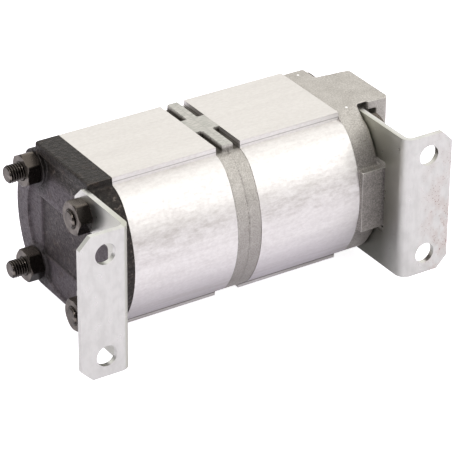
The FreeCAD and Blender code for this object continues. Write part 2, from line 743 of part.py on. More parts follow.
def gear(name, driven, x, y, turn=NO_TURN):
    """Spur gear with a journal each side; a drive gear's inner journal ends in a tongue."""
    teeth = doc.addObject("Part::Extrusion", name + "_teeth")
    teeth.Base = tooth_outline(name)
    teeth.DirMode = "Custom"
    teeth.Dir = X_AXIS
    teeth.Solid = True
    teeth.setExpression("LengthFwd", gear_width.text)
    to_block_end = gear_width / 2 + d.side_clearance + d.block_length
    low = d.journal_relief - to_block_end
    high = to_block_end - d.journal_relief if driven else to_block_end
    pieces = [teeth, cylinder_along_x(name + "_journals", low, high - low, journal_radius)]
    if not driven:
        round_end = cylinder_along_x(name + "_end", to_block_end, d.tongue_length, journal_radius)
        flat = doc.addObject("Part::Box", name + "_flats")
        flat.setExpression("Length", d.tongue_length.text)
        flat.setExpression("Width", d.tongue_width.text)
        flat.setExpression("Height", d.journal_diameter.text)
        place(flat, to_block_end, -d.tongue_width / 2, -journal_radius)
        tongue = doc.addObject("Part::Common", name + "_tongue")
        tongue.Base = round_end
        tongue.Tool = flat
        pieces.append(tongue)
    item = doc.addObject("Part::MultiFuse", name)
    item.Shapes = pieces
    item.Label = name
    place(item, x, y, turn=turn)
    return item


def shaft_coupling(name):
    """Round coupling between the drive gears, slotted at both ends for their tongues."""
    body = new_body(name)
    length = (d.plate_thickness - d.coupling_gap) * 2
    outline = new_sketch(body, "round")
    add_circle(outline, (ZERO, ZERO), d.coupling_diameter / 2)
    pad(body, outline, length)
    half_slot = d.tongue_width / 2 + d.tongue_clearance
    depth = d.tongue_length - d.coupling_gap + d.tongue_clearance
    for end, offset in (("left", None), ("right", length)):
        slot = new_sketch(body, "slot_" + end, offset=offset)
        add_box(slot, (-half_slot, -d.coupling_diameter), (half_slot, d.coupling_diameter))
        pocket(body, slot, depth, forward=offset is None)
    place(body, d.coupling_gap - d.plate_thickness, drive_y)
    return body


def balance_outline(sketch, play):
    """Strip round both bushes that dips between them, open towards the top."""
    outer = d.balance_seal_radius + d.seal_width / 2 + play
    inner = d.balance_seal_radius - d.seal_width / 2 - play
    middle = d.seal_width / 2 + play
    shares = {}
    for key, radius, degrees in (
        ("outer_start", outer, d.balance_seal_start_angle),
        ("outer_turn", outer, d.balance_seal_turn_angle),
        ("inner_start", inner, d.balance_seal_start_angle),
        ("inner_turn", inner, d.balance_seal_turn_angle),
    ):
        across, upward = polar(radius, degrees)
        shares[key] = (across - gear_offset, upward)

    def mirrored(key):
        return (-shares[key][0], shares[key][1])

    corners = [
        shares["outer_start"],
        shares["outer_turn"],
        (ZERO, -d.balance_seal_middle - middle),
        mirrored("outer_turn"),
        mirrored("outer_start"),
        mirrored("inner_start"),
        mirrored("inner_turn"),
        (ZERO, -d.balance_seal_middle + middle),
        shares["inner_turn"],
        shares["inner_start"],
    ]
    left = (-gear_offset, ZERO)
    right = (gear_offset, ZERO)
    arcs = {0: (left, outer, True), 3: (right, outer, True), 5: (right, inner, False), 8: (left, inner, False)}
    add_outline(sketch, corners, arcs)


def bearing_block(name, x, turn):
    """Figure-eight block with two bush bores, a balance seal groove outside and relief pockets inside."""
    body = new_body(name)
    outline = new_sketch(body, "outline")
    eight_outline(outline, cavity_radius - d.block_clearance)
    pad(body, outline, d.block_length)
    centres = [(gear_offset * side, ZERO) for side in SIDES]
    cut_holes(body, "bores", centres, bush_outer + d.bush_fit)
    groove = new_sketch(body, "groove")
    balance_outline(groove, d.seal_groove_play / 2)
    pocket(body, groove, d.seal_height + d.seal_groove_play, forward=True)
    relief = new_sketch(body, "relief", offset=d.block_length)
    half = d.relief_width / 2
    for side in SIDES:
        first = d.relief_offset * side
        second = (d.relief_offset + d.relief_height) * side
        add_box(relief, (-half, first), (half, second))
    pocket(body, relief, d.relief_depth)
    place(body, x, d.axis_height, turn=turn)
    return body


def flat_seal(name, x, turn, draw):
    """A seal lying in its groove, drawn by the function given."""
    body = new_body(name)
    outline = new_sketch(body, "loop")
    draw(outline)
    pad(body, outline, d.seal_height)
    place(body, x, d.axis_height, turn=turn)
    return body


def bush():
    """Bearing bush, from its block's outer face inwards."""
    body = new_body("bush_pattern")
    outline = new_sketch(body, "ring")
    add_circle(outline, (ZERO, ZERO), bush_outer)
    add_circle(outline, (ZERO, ZERO), bush_inner)
    pad(body, outline, d.block_length)
    return body


def dowel(name, length):
    """Dowel pin along the shaft."""
    body = new_body(name)
    outline = new_sketch(body, "round")
    add_circle(outline, (ZERO, ZERO), d.dowel_diameter / 2)
    pad(body, outline, length)
    return body


def stud(name, length):
    """Tie stud with bevelled ends."""
    body = new_body(name)
    outline = new_sketch(body, "round")
    add_circle(outline, (ZERO, ZERO), d.stud_diameter / 2)
    pad(body, outline, length)
    across = d.stud_diameter.value
    round_edges(body, "ends", d.stud_chamfer, lambda box: near(box.YLength, across), "Chamfer")
    return body


def nut():
    """Hexagon nut, bevelled on both faces, with a flat facing +Y."""
    body = new_body("nut_pattern")
    outline = new_sketch(body, "hexagon")
    flat = d.nut_flats / 2
    half_side = flat / math.sqrt(3)
    corner = half_side * 2
    corners = [(flat, -half_side), (flat, half_side), (ZERO, corner)]
    corners += [(-flat, half_side), (-flat, -half_side), (ZERO, -corner)]
    add_outline(outline, corners)
    add_circle(outline, (ZERO, ZERO), d.stud_diameter / 2 + d.thread_fit)
    pad(body, outline, d.nut_height)
    bevel = new_sketch(body, "bevels", "XY_Plane")
    bevel_radius = d.nut_face / 2
    beyond = corner * 2 - bevel_radius
    rise = (beyond - bevel_radius) / math.sqrt(3)
    ends = ((ZERO, rise), (d.nut_height, d.nut_height - rise))
    for face, inside in ends:
        add_outline(bevel, [(face, bevel_radius), (inside, beyond), (face, beyond)])
    cut = body.newObject("PartDesign::Groove", "nut_bevels")
    cut.Profile = bevel
    cut.ReferenceAxis = (bevel, ["H_Axis"])
    cut.Angle = 360
    doc.recompute()
    return body


def group(name, places):
    """Separate solids kept in one node: each place is (pattern, x, y, z, turn)."""
    links = []
    for number, (pattern, x, y, z, turn) in enumerate(places, start=1):
        link = doc.addObject("App::Link", "%s_%d" % (name, number))
        link.LinkedObject = pattern
        place(link, x, y, z, turn)
        links.append(link)
    item = doc.addObject("Part::Compound", name)
    item.Label = name
    item.Links = links
    doc.recompute()
    return item


HALF_TURN = FreeCAD.Rotation(Z_AXIS, 180)
BRACKET_TURN = FreeCAD.Rotation(Y_AXIS, 180)

nodes = []


def keep(item):
    """List a finished piece for export."""
    nodes.append((item.Label, item))
    return item


keep(end_cover("end_cover"))
keep(gear_body("gear_body_1", -body_outer_end))
keep(intermediate_plate("intermediate_plate_1", -d.plate_thickness, True))
keep(intermediate_plate("intermediate_plate_2", ZERO, False))
keep(gear_body("gear_body_2", d.plate_thickness))
keep(port_cover("port_cover"))
keep(bracket("bracket_left", NO_TURN))
keep(bracket("bracket_right", BRACKET_TURN))

tooth_angle = 180 / d.gear_teeth.value
MESH_TURN = FreeCAD.Rotation(X_AXIS, tooth_angle)
keep(gear("drive_gear_1", False, -section_middle, drive_y))
keep(gear("drive_gear_2", False, section_middle, drive_y, HALF_TURN))
keep(gear("driven_gear_1", True, -section_middle, driven_y, MESH_TURN))
keep(gear("driven_gear_2", True, section_middle, driven_y, MESH_TURN))
keep(shaft_coupling("shaft_coupling"))

BLOCK_PLACES = (
    ("1_left", -body_outer_end, NO_TURN),
    ("1_right", -d.plate_thickness, HALF_TURN),
    ("2_left", d.plate_thickness, NO_TURN),
    ("2_right", body_outer_end, HALF_TURN),
)
for ending, x, turn in BLOCK_PLACES:
    keep(bearing_block("bearing_block_" + ending, x, turn))
    keep(flat_seal("balance_seal_" + ending, x, turn, lambda sketch: balance_outline(sketch, ZERO)))
    keep(flat_seal("body_seal_" + ending, x, turn, lambda sketch: seal_loop(sketch, ZERO)))
keep(flat_seal("plate_seal", ZERO, HALF_TURN, lambda sketch: seal_loop(sketch, ZERO)))

bush_pattern = bush()
for section in (0, 1):
    bush_places = []
    for ending, x, turn in BLOCK_PLACES[section * 2:section * 2 + 2]:
        for shaft_y in (drive_y, driven_y):
            bush_places.append((bush_pattern, x, shaft_y, ZERO, turn))
    keep(group("bearing_bushes_%d" % (section + 1), bush_places))

short_dowel = dowel("dowel_short_pattern", d.dowel_depth * 2)
long_dowel = dowel("dowel_long_pattern", (d.dowel_depth + d.plate_thickness) * 2)
dowel_places = []
for side in SIDES:
    dowel_y = d.axis_height + dowel_position * side
    dowel_places.append((short_dowel, -body_outer_end - d.dowel_depth, dowel_y, ZERO, NO_TURN))
    dowel_places.append((long_dowel, -d.plate_thickness - d.dowel_depth, dowel_y, ZERO, NO_TURN))
    dowel_places.append((short_dowel, body_outer_end - d.dowel_depth, dowel_y, ZERO, NO_TURN))
keep(group("dowel_pins", dowel_places))

front_y = d.axis_height - d.stud_spacing_wide / 2
rear_y = d.axis_height + d.stud_spacing_wide / 2
over_nut = stack_half + d.nut_height
front_start = -over_nut - d.sheet - d.stud_short_end
front_length = over_nut + d.sheet + d.stud_port_end - front_start
rear_start = -over_nut - d.stud_long_end
rear_length = over_nut + d.stud_short_end - rear_start
stud_rows = (
    ("tie_studs_front", stud("stud_front_pattern", front_length), front_start, front_y),
    ("tie_studs_rear", stud("stud_rear_pattern", rear_length), rear_start, rear_y),
)
for name, pattern, start, y in stud_rows:
    keep(group(name, [(pattern, start, y, d.stud_spacing_high / 2 * side, NO_TURN) for side in SIDES]))

nut_pattern = nut()
NUT_ROWS = (
    ("nuts_front_left", -nut_front_seat - d.nut_height, front_y, (20, 25)),
    ("nuts_rear_left", -over_nut, rear_y, (32, 1)),
    ("nuts_front_right", nut_front_seat, front_y, (20, 50)),
    ("nuts_rear_right", stack_half, rear_y, (10, 35)),
)
for name, start, y, turns in NUT_ROWS:
    nut_places = []
    for side, degrees in zip(SIDES, turns):
        turn = FreeCAD.Rotation(X_AXIS, degrees)
        nut_places.append((nut_pattern, start, y, d.stud_spacing_high / 2 * side, turn))
    keep(group(name, nut_places))

doc.recompute()
for item in doc.Objects:
    if "Invalid" in item.State or "Error" in item.State:
        raise ValueError("%s is not sound: %s" % (item.Name, item.State))
for name, item in nodes:
    shape = item.Shape
    if shape.isNull() or not shape.isValid() or not shape.Solids:
        raise ValueError("%s has no valid shape" % name)

os.makedirs("parts", exist_ok=True)
for name, item in nodes:
    item.Shape.exportStep("parts/%s.step" % name)
    print("%-24s %2d solid(s) %10.1f mm3" % (name, len(item.Shape.Solids), item.Shape.Volume))
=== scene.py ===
import json
import math

import bmesh
import bpy
import numpy as np
from mathutils import Matrix, Vector


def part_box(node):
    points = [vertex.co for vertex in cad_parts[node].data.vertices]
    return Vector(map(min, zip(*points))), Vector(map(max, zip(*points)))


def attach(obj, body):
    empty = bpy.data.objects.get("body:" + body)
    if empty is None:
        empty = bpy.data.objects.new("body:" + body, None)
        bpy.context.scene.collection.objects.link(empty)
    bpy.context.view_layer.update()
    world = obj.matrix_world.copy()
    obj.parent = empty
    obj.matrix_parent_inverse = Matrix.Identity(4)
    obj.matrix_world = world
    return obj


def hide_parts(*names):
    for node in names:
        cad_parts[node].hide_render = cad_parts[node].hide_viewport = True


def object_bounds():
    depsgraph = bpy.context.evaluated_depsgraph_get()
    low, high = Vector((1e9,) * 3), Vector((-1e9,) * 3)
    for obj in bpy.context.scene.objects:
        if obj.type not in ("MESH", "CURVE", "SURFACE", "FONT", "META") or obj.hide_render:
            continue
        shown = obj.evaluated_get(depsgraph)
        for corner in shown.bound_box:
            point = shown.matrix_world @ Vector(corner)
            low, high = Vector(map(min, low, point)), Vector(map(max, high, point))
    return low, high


bl_info = {
    "name": "Gear flow divider",
    "version": (1, 0, 0),
    "blender": (4, 5, 0),
    "location": "View3D > Sidebar > Flow divider",
    "description": "Castings, fasteners, threads and finishes of a two-section gear flow divider",
    "category": "Object",
}

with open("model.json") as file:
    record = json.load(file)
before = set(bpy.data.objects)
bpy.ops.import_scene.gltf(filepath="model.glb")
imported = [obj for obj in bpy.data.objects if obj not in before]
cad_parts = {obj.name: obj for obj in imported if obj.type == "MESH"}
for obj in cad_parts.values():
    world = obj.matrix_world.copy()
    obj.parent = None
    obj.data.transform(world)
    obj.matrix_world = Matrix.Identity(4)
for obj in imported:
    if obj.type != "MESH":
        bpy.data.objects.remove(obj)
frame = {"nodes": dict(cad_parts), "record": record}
CAD_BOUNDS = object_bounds()
MM = 0.001
MM_PER_METRE = 1000
HOUSING = "housing"

# The kinds of node used most. A colour mix takes its share as input 0 and its two colours as inputs 6 and 7.
MATH = "ShaderNodeMath"
RANGE = "ShaderNodeMapRange"
MIX = "ShaderNodeMix"


def linear(code):
    """An sRGB hex value as a linear colour with alpha."""
    parts = [int(code[place:place + 2], 16) / 255 for place in (0, 2, 4)]
    bent = [part / 12.92 if part <= 0.04045 else ((part + 0.055) / 1.055) ** 2.4 for part in parts]
    return (*bent, 1.0)


def colour_value(name, description, code):
    """A colour setting with this sRGB default."""
    return bpy.props.FloatVectorProperty(
        name=name, description=description, subtype="COLOR", size=4, min=0, max=1, default=linear(code))


def number_value(name, description, default, **kind):
    """A number setting, with its unit or subtype where one fits."""
    return bpy.props.FloatProperty(name=name, description=description, default=default, **kind)


def length_value(name, description, millimetres):
    """A length setting with its default in millimetres."""
    return number_value(name, description, millimetres * MM, unit="LENGTH", precision=5)


class StageSettings(bpy.types.PropertyGroup):
    """Camera and studio light."""

    azimuth: number_value(
        "Azimuth", "Camera direction round the object", math.radians(-32.71), subtype="ANGLE")
    elevation: number_value(
        "Elevation", "Camera direction above the horizon", math.radians(29.39), subtype="ANGLE")
    roll: number_value(
        "Roll", "Turn of the camera about its own line of sight", math.radians(-0.49), subtype="ANGLE")
    distance: length_value("Distance", "Camera to the anchor point", 1442.7)
    shift_right: length_value("Right", "Camera to the right of the anchor point", 73.9)
    shift_up: length_value("Up", "Camera above the anchor point", 2.7)
    lens: number_value("Lens", "Focal length on a 36 mm sensor", 217.1, subtype="DISTANCE_CAMERA")
    key_power: number_value(
        "Key light", "Power of the large soft light in front on the right", 5.0, unit="POWER")
    fill_power: number_value("Fill light", "Power of the small light on the left", 5.5, unit="POWER")
    studio_bright: number_value("Bright side", "Brightness of the ceiling and the far side", 1.25)
    studio_dim: number_value("Dim side", "Brightness of the studio low down in front on the left", 0.04)
    bright_way: bpy.props.FloatVectorProperty(
        name="Bright way", description="Direction in which the studio is brightest", subtype="DIRECTION",
        default=(0.40, 0.30, 0.87))
    floor_glow: number_value("Floor glow", "Light that the lit table gives by itself", 0.25)
    floor_seen: number_value(
        "Floor seen", "Extra brightness of the table as seen, so that it stays white", 0.6)
    floor_colour: colour_value("Floor", "Pale studio table", "E4E1EB")


class CastingSettings(bpy.types.PropertyGroup):
    """Surface of the cast pieces."""

    voxel: length_value("Mesh size", "Mesh size of a cast piece", 0.5)
    softening: bpy.props.IntProperty(
        name="Softening", description="Smoothing steps that round a casting's edges", default=1, min=0)
    grain_size: length_value("Grain size", "Distance between the bumps of a sand-cast skin", 1.3)
    grain_height: length_value("Grain height", "Depth of a sand-cast skin's bumps", 0.10)


class FastenerSettings(bpy.types.PropertyGroup):
    """Studs, nuts and threads."""

    stud_radius: length_value("Stud radius", "Outside radius of a stud", 5.0)
    pitch: length_value("Pitch", "Thread pitch of the studs", 1.5)
    thread_depth: length_value("Thread depth", "Depth of the stud thread", 0.85)
    thread_left: length_value("Left thread", "Threaded length of a stud at the plain cover", 19.8)
    thread_right: length_value("Right thread", "Threaded length of a stud at the port cover", 13.8)
    stud_chamfer: length_value("Stud chamfer", "Chamfer at a stud's end", 0.9)
    nut_flats: length_value("Across flats", "Nut width across flats", 17.0)
    nut_height: length_value("Nut height", "Height of a nut", 8.0)
    nut_face: length_value("Nut face", "Diameter of a nut's flat face inside its bevel", 17.2)
    port_pitch: length_value("Port pitch", "Thread pitch of the ports", 1.814)
    port_ridge: length_value("Port thread", "Height of the port thread's crest", 0.6)


class FinishSettings(bpy.types.PropertyGroup):
    """Colours of the finishes."""

    extrusion: colour_value("Extrusion", "Extruded aluminium", "EAE8E6")
    extrusion_dull: colour_value("Extrusion, dull", "Duller streaks of the extrusion", "DAD7D5")
    # Long streaks low on the sides, and a painted reflection: a dark band half way up.
    extrusion_streak_and_reflection: colour_value("Extrusion, marked", "Dark smears and streaks on the sides", "B0AAA3")
    # Painted shade low on the gear bodies' sides.
    extrusion_low_shade: colour_value("Extrusion, film", "Faint film low on the sides", "C4C0C4")
    extrusion_milled: colour_value("Extrusion, milled", "Milled port faces", "D2CFCA")
    # Real pits, and painted shade in the creases below a port face and low on the flank.
    extrusion_pit_and_shade: colour_value("Extrusion, pits", "Pits, and the seam below a port face", "6E6A66")
    casting: colour_value("Casting", "Die-cast aluminium", "D4D1CC")
    casting_dark: colour_value("Casting, dark", "Darker grains of the die casting", "A5A19B")
    # Painted shade low on the port cover's front.
    casting_painted_shade: colour_value("Casting, unblasted", "Darker skin low on the port cover", "AFABA5")
    # Darker grains of painted shade, on the port cover and the plates' feet.
    casting_painted_shade_dark: colour_value("Casting, unblasted, dark", "Darker grains of that skin", "7A7674")
    # Bright convex edges: wear, with painted highlight as well.
    casting_edge_highlight: colour_value("Casting, edge", "Edges that the blasting left bright", "EFEDE8")
    # Painted glints: small pure white spots on the port cover.
    casting_glint: colour_value("Casting, pin marks", "Bright marks of the ejector pins", "FFFFFF")
    casting_ground: colour_value("Casting, ground", "Ground lands of the plates", "B4B5AF")
    # Painted shade in the plates' pockets.
    casting_pocket_shade: colour_value("Casting, pocket", "Dark residue in the plates' pockets", "4F4A42")
    iron: colour_value("Coated iron", "Charcoal coat on cast iron", "28231F")
    iron_side: colour_value("Coated iron, side", "Coat on the cover's round side", "342E2A")
    iron_face: colour_value("Coated iron, face", "Thinner coat on the cover's outer face", "5E575C")
    iron_face_dark: colour_value("Coated iron, face, dark", "Hollows of that thinner coat", "3F3A3D")
    # Real hollows of the coat; also painted shade in creases and painted shadow round the nuts.
    iron_hollow_and_shade: colour_value("Coated iron, dark", "Hollows of the coat", "181513")
    # Light crests of the coat, and painted highlight on sharp edges.
    iron_crest_and_highlight: colour_value("Coated iron, worn", "Light crests where the coat is thin", "8A8078")
    iron_rust: colour_value("Coated iron, warm", "Rusty tint of the coat", "4A3B30")
    oxide: colour_value("Black oxide", "Oiled black oxide on the nuts", "4A443F")
    # Painted shade on faces that look sideways or down.
    oxide_painted_shade: colour_value("Black oxide, flats", "Wetter oil on flats facing sideways or down", "25211E")
    # Also painted light on the nuts' faces that look up.
    oxide_worn: colour_value("Black oxide, worn", "Oxide rubbed thin in places", "6A635C")
    # Wear on corners and crests, with painted highlight as well.
    oxide_edge: colour_value("Black oxide, edge", "Corners and crests rubbed to grey steel", "8F8880")
    thread: colour_value("Thread", "Thin oxide on the rolled threads", "383431")
    # Also painted light on thread faces that look up.
    thread_worn: colour_value("Thread, worn", "Crests rubbed bright", "67605B")
    zinc: colour_value("Zinc", "Bright zinc plate", "D1D1CD")
    zinc_cloud: colour_value("Zinc, cloudy", "Duller clouds of the zinc plate", "C9C9C5")
    # Painted shade on the right bracket's inner flank and in the left one's inner corner.
    zinc_shade: colour_value("Zinc, dull", "Olive tint where the plate was not wiped", "BEBFB5")
    # Painted shade, darker low down on that flank.
    zinc_shade_low: colour_value("Zinc, grimed", "Darker olive low down, where handling left a film", "787872")
    zinc_blush: colour_value("Zinc, blush", "Pale rusty wash round the specks", "B8A89F")
    zinc_stain: colour_value("Zinc, stain", "Warm specks on the zinc plate", "85645A")


SETTINGS = (
    ("fd_stage", StageSettings),
    ("fd_casting", CastingSettings),
    ("fd_fastener", FastenerSettings),
    ("fd_finish", FinishSettings),
)


def feed(tree, socket, source):
    """Give an input its source: a value, a socket, or a node, which stands for its first live output."""
    if isinstance(source, bpy.types.Node):
        source = next(output for output in source.outputs if output.enabled)
    if isinstance(source, bpy.types.NodeSocket):
        tree.links.new(source, socket)
    else:
        socket.default_value = source


def add(tree, kind, inputs=(), **settings):
    """Add a node: settings are its own properties, and inputs come in order, or by name or number."""
    node = tree.nodes.new(kind)
    for name, value in settings.items():
        setattr(node, name, value)
    pairs = inputs.items() if isinstance(inputs, dict) else enumerate(inputs)
    for key, source in pairs:
        feed(tree, node.inputs[key], source)
    return node


def put(mesh, name):
    """A new object with this mesh, at the origin."""
    item = bpy.data.objects.new(name, mesh)
    bpy.context.scene.collection.objects.link(item)
    return item


def settled(item, name):
    """A plain piece from an object's evaluated mesh, closed and with its faces outwards; the object goes."""
    graph = bpy.context.evaluated_depsgraph_get()
    mesh = bpy.data.meshes.new_from_object(item.evaluated_get(graph))
    work = bmesh.new()
    work.from_mesh(mesh)
    bmesh.ops.remove_doubles(work, verts=work.verts, dist=1e-7)
    bmesh.ops.dissolve_degenerate(work, edges=work.edges, dist=1e-8)
    bmesh.ops.recalc_face_normals(work, faces=work.faces)
    work.to_mesh(mesh)
    work.free()
    mesh.name = name
    bpy.data.objects.remove(item)
    return put(mesh, name)


def finish_piece(item, slot, *nodes):
    """Let a finished piece ride on the housing in place of its CAD nodes."""
    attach(item, HOUSING)
    if nodes:
        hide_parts(*nodes)


NUMBER_SOCKETS = {float: "NodeSocketFloat", int: "NodeSocketInt"}


def group_tree(name, inputs):
    """An empty geometry tree with named inputs, each with its default number or else its kind of socket."""
    tree = bpy.data.node_groups.new(name, "GeometryNodeTree")
    for label, default in inputs.items():
        kind = NUMBER_SOCKETS.get(type(default), default)
        socket = tree.interface.new_socket(label, in_out="INPUT", socket_type=kind)
        if kind != default:
            socket.default_value = default
    tree.interface.new_socket("Geometry", in_out="OUTPUT", socket_type="NodeSocketGeometry")
    return tree, tree.nodes.new("NodeGroupInput").outputs, tree.nodes.new("NodeGroupOutput").inputs[0]


def end_tree(tree, result, geometry, material):
    """End a geometry tree: instances made real, and everything given the material."""
    solid = add(tree, "GeometryNodeRealizeInstances", (geometry,))
    feed(tree, result, add(tree, "GeometryNodeSetMaterial", {"Geometry": solid, "Material": material}))


def apply_tree(item, tree, values):
    """Give an object this geometry tree with the named inputs set."""
    modifier = item.modifiers.new(tree.name, "NODES")
    modifier.node_group = tree
    for socket in tree.interface.items_tree:
        if socket.item_type == "SOCKET" and socket.in_out == "INPUT" and socket.name in values:
            modifier[socket.identifier] = values[socket.name]


def thread_tree():
    """A threaded length along +X from Start: a grid rolled up, whose radius follows a helix."""
    tree, given, result = group_tree("Threaded length", {
        "Start": 0.0, "Length": 0.02, "Radius": 0.005, "Pitch": 0.0015, "Depth": 0.0009, "Chamfer": 0.0008,
        "Rings": 100, "Sides": 40})
    sides = add(tree, MATH, (given["Sides"], 1), operation="ADD")
    grid = add(tree, "GeometryNodeMeshGrid", {
        "Size X": given["Length"], "Size Y": 1.0, "Vertices X": given["Rings"], "Vertices Y": sides})
    place = add(tree, "ShaderNodeSeparateXYZ", (add(tree, "GeometryNodeInputPosition"),)).outputs
    along = add(tree, MATH, (given["Length"], 0.5, place[0]), operation="MULTIPLY_ADD")
    turn = add(tree, MATH, (place[1], 0.5), operation="ADD")
    gaps = add(tree, MATH, (given["Rings"], 1), operation="SUBTRACT")
    step = add(tree, MATH, (given["Length"], gaps), operation="DIVIDE")
    ahead = add(tree, MATH, (given["Length"], along), operation="SUBTRACT")
    from_end = add(tree, MATH, (along, ahead), operation="MINIMUM")

    # The groove's depth swings once for each pitch along the helix, with a flat root and a flat crest.
    pitches = add(tree, MATH, (along, given["Pitch"]), operation="DIVIDE")
    helix = add(tree, MATH, (pitches, turn), operation="SUBTRACT")
    phase = add(tree, MATH, (helix,), operation="FRACT")
    swing = add(tree, MATH, (phase, 2.0, -1.0), operation="MULTIPLY_ADD")
    wave = add(tree, MATH, (swing,), operation="ABSOLUTE")
    flank = add(tree, RANGE, (wave, 0.15, 0.88))
    cut = add(tree, MATH, (1.0, flank), operation="SUBTRACT")
    groove = add(tree, MATH, (given["Depth"], cut), operation="MULTIPLY")
    threaded = add(tree, MATH, (given["Radius"], groove), operation="SUBTRACT")

    # Near an end the chamfer is smaller than the thread, and the end rings shrink to a point.
    inset = add(tree, MATH, (from_end, step), operation="SUBTRACT")
    end_radius = add(tree, MATH, (given["Radius"], given["Chamfer"]), operation="SUBTRACT")
    bevel = add(tree, MATH, (end_radius, inset), operation="ADD")
    smaller = add(tree, MATH, (threaded, bevel), operation="MINIMUM")
    half_step = add(tree, MATH, (step, 0.5), operation="MULTIPLY")
    inside = add(tree, MATH, (from_end, half_step), operation="GREATER_THAN")
    radius = add(tree, MATH, (smaller, inside), operation="MULTIPLY")
    last = add(tree, MATH, (given["Length"], step), operation="SUBTRACT")
    not_first = add(tree, MATH, (along, step), operation="MAXIMUM")
    flat = add(tree, MATH, (not_first, last), operation="MINIMUM")

    angle = add(tree, MATH, (turn, 2 * math.pi), operation="MULTIPLY")
    cosine = add(tree, MATH, (angle,), operation="COSINE")
    sine = add(tree, MATH, (angle,), operation="SINE")
    point = add(tree, "ShaderNodeCombineXYZ", (
        add(tree, MATH, (given["Start"], flat), operation="ADD"),
        add(tree, MATH, (radius, cosine), operation="MULTIPLY"),
        add(tree, MATH, (radius, sine), operation="MULTIPLY")))
    rolled = add(tree, "GeometryNodeSetPosition", {"Geometry": grid, "Position": point})
    feed(tree, result, add(tree, "GeometryNodeMergeByDistance", {"Geometry": rolled, "Distance": 1e-6}))
    return tree


# Rings of points along a stud's left thread, plain shank and right thread.
STUD_RINGS = (132, 6, 92)


def stud_tree(thread):
    """Two tie studs, one over the other: a threaded length at each end of a plain shank."""
    tree, given, result = group_tree("Tie studs", {
        "Start": 0.0, "End": 0.2, "Left thread": 0.02, "Right thread": 0.02, "Across": 0.04,
        "Spacing": 0.058, "Radius": 0.005, "Pitch": 0.0015, "Depth": 0.0009, "Chamfer": 0.0008,
        "Material": "NodeSocketMaterial"})
    right_start = add(tree, MATH, (given["End"], given["Right thread"]), operation="SUBTRACT")
    shank_start = add(tree, MATH, (given["Start"], given["Left thread"]), operation="ADD")
    shank_length = add(tree, MATH, (right_start, shank_start), operation="SUBTRACT")
    spans = (
        (given["Start"], given["Left thread"], given["Depth"], given["Chamfer"]),
        (shank_start, shank_length, 0.0, 0.0),
        (right_start, given["Right thread"], given["Depth"], given["Chamfer"]),
    )
    join = add(tree, "GeometryNodeJoinGeometry")
    for (start, length, depth, chamfer), rings in zip(spans, STUD_RINGS):
        span = add(tree, "GeometryNodeGroup", {
            "Start": start, "Length": length, "Radius": given["Radius"], "Pitch": given["Pitch"],
            "Depth": depth, "Chamfer": chamfer, "Rings": rings}, node_tree=thread)
        feed(tree, join.inputs[0], span)
    below = add(tree, MATH, (given["Spacing"], -0.5), operation="MULTIPLY")
    low = add(tree, "ShaderNodeCombineXYZ", (0.0, given["Across"], below))
    step = add(tree, "ShaderNodeCombineXYZ", (0.0, 0.0, given["Spacing"]))
    pair = add(tree, "GeometryNodeMeshLine", {
        "Count": 2, "Start Location": low, "Offset": step}, mode="OFFSET")
    placed = add(tree, "GeometryNodeInstanceOnPoints", {"Points": pair, "Instance": join})
    end_tree(tree, result, placed, given["Material"])
    return tree


def nut_tree():
    """A nut placed on points, each turned by its own angle about the shaft line."""
    tree, given, result = group_tree("Nut places", {
        "Places": "NodeSocketGeometry", "Pattern": "NodeSocketObject", "Material": "NodeSocketMaterial"})
    nut = add(tree, "GeometryNodeObjectInfo", {"Object": given["Pattern"]}).outputs["Geometry"]
    turn = add(tree, "GeometryNodeInputNamedAttribute", {"Name": "turn"}, data_type="FLOAT")
    rotation = add(tree, "ShaderNodeCombineXYZ", (turn,))
    placed = add(tree, "GeometryNodeInstanceOnPoints", {
        "Points": given["Places"], "Instance": nut, "Rotation": rotation})
    end_tree(tree, result, placed, given["Material"])
    return tree


def port_thread_tree():
    """A helical thread crest inside a port: a spiral with a three-cornered section."""
    tree, given, result = group_tree("Port thread", {
        "Radius": 0.009, "Pitch": 0.0018, "Turns": 6.0, "Ridge": 0.0006, "Place": "NodeSocketVector",
        "Material": "NodeSocketMaterial"})
    rise = add(tree, MATH, (given["Turns"], given["Pitch"]), operation="MULTIPLY")
    spiral = add(tree, "GeometryNodeCurveSpiral", {
        "Resolution": 56, "Rotations": given["Turns"], "Start Radius": given["Radius"],
        "End Radius": given["Radius"], "Height": rise})
    upright = add(tree, "GeometryNodeSetCurveNormal", (spiral,), mode="Z_UP")
    section = add(tree, "GeometryNodeCurvePrimitiveCircle", {
        "Resolution": 3, "Radius": given["Ridge"]}, mode="RADIUS")
    swept = add(tree, "GeometryNodeCurveToMesh", {
        "Curve": upright, "Profile Curve": section, "Fill Caps": True})
    moved = add(tree, "GeometryNodeTransform", {"Geometry": swept, "Translation": given["Place"]})
    end_tree(tree, result, moved, given["Material"])
    return tree


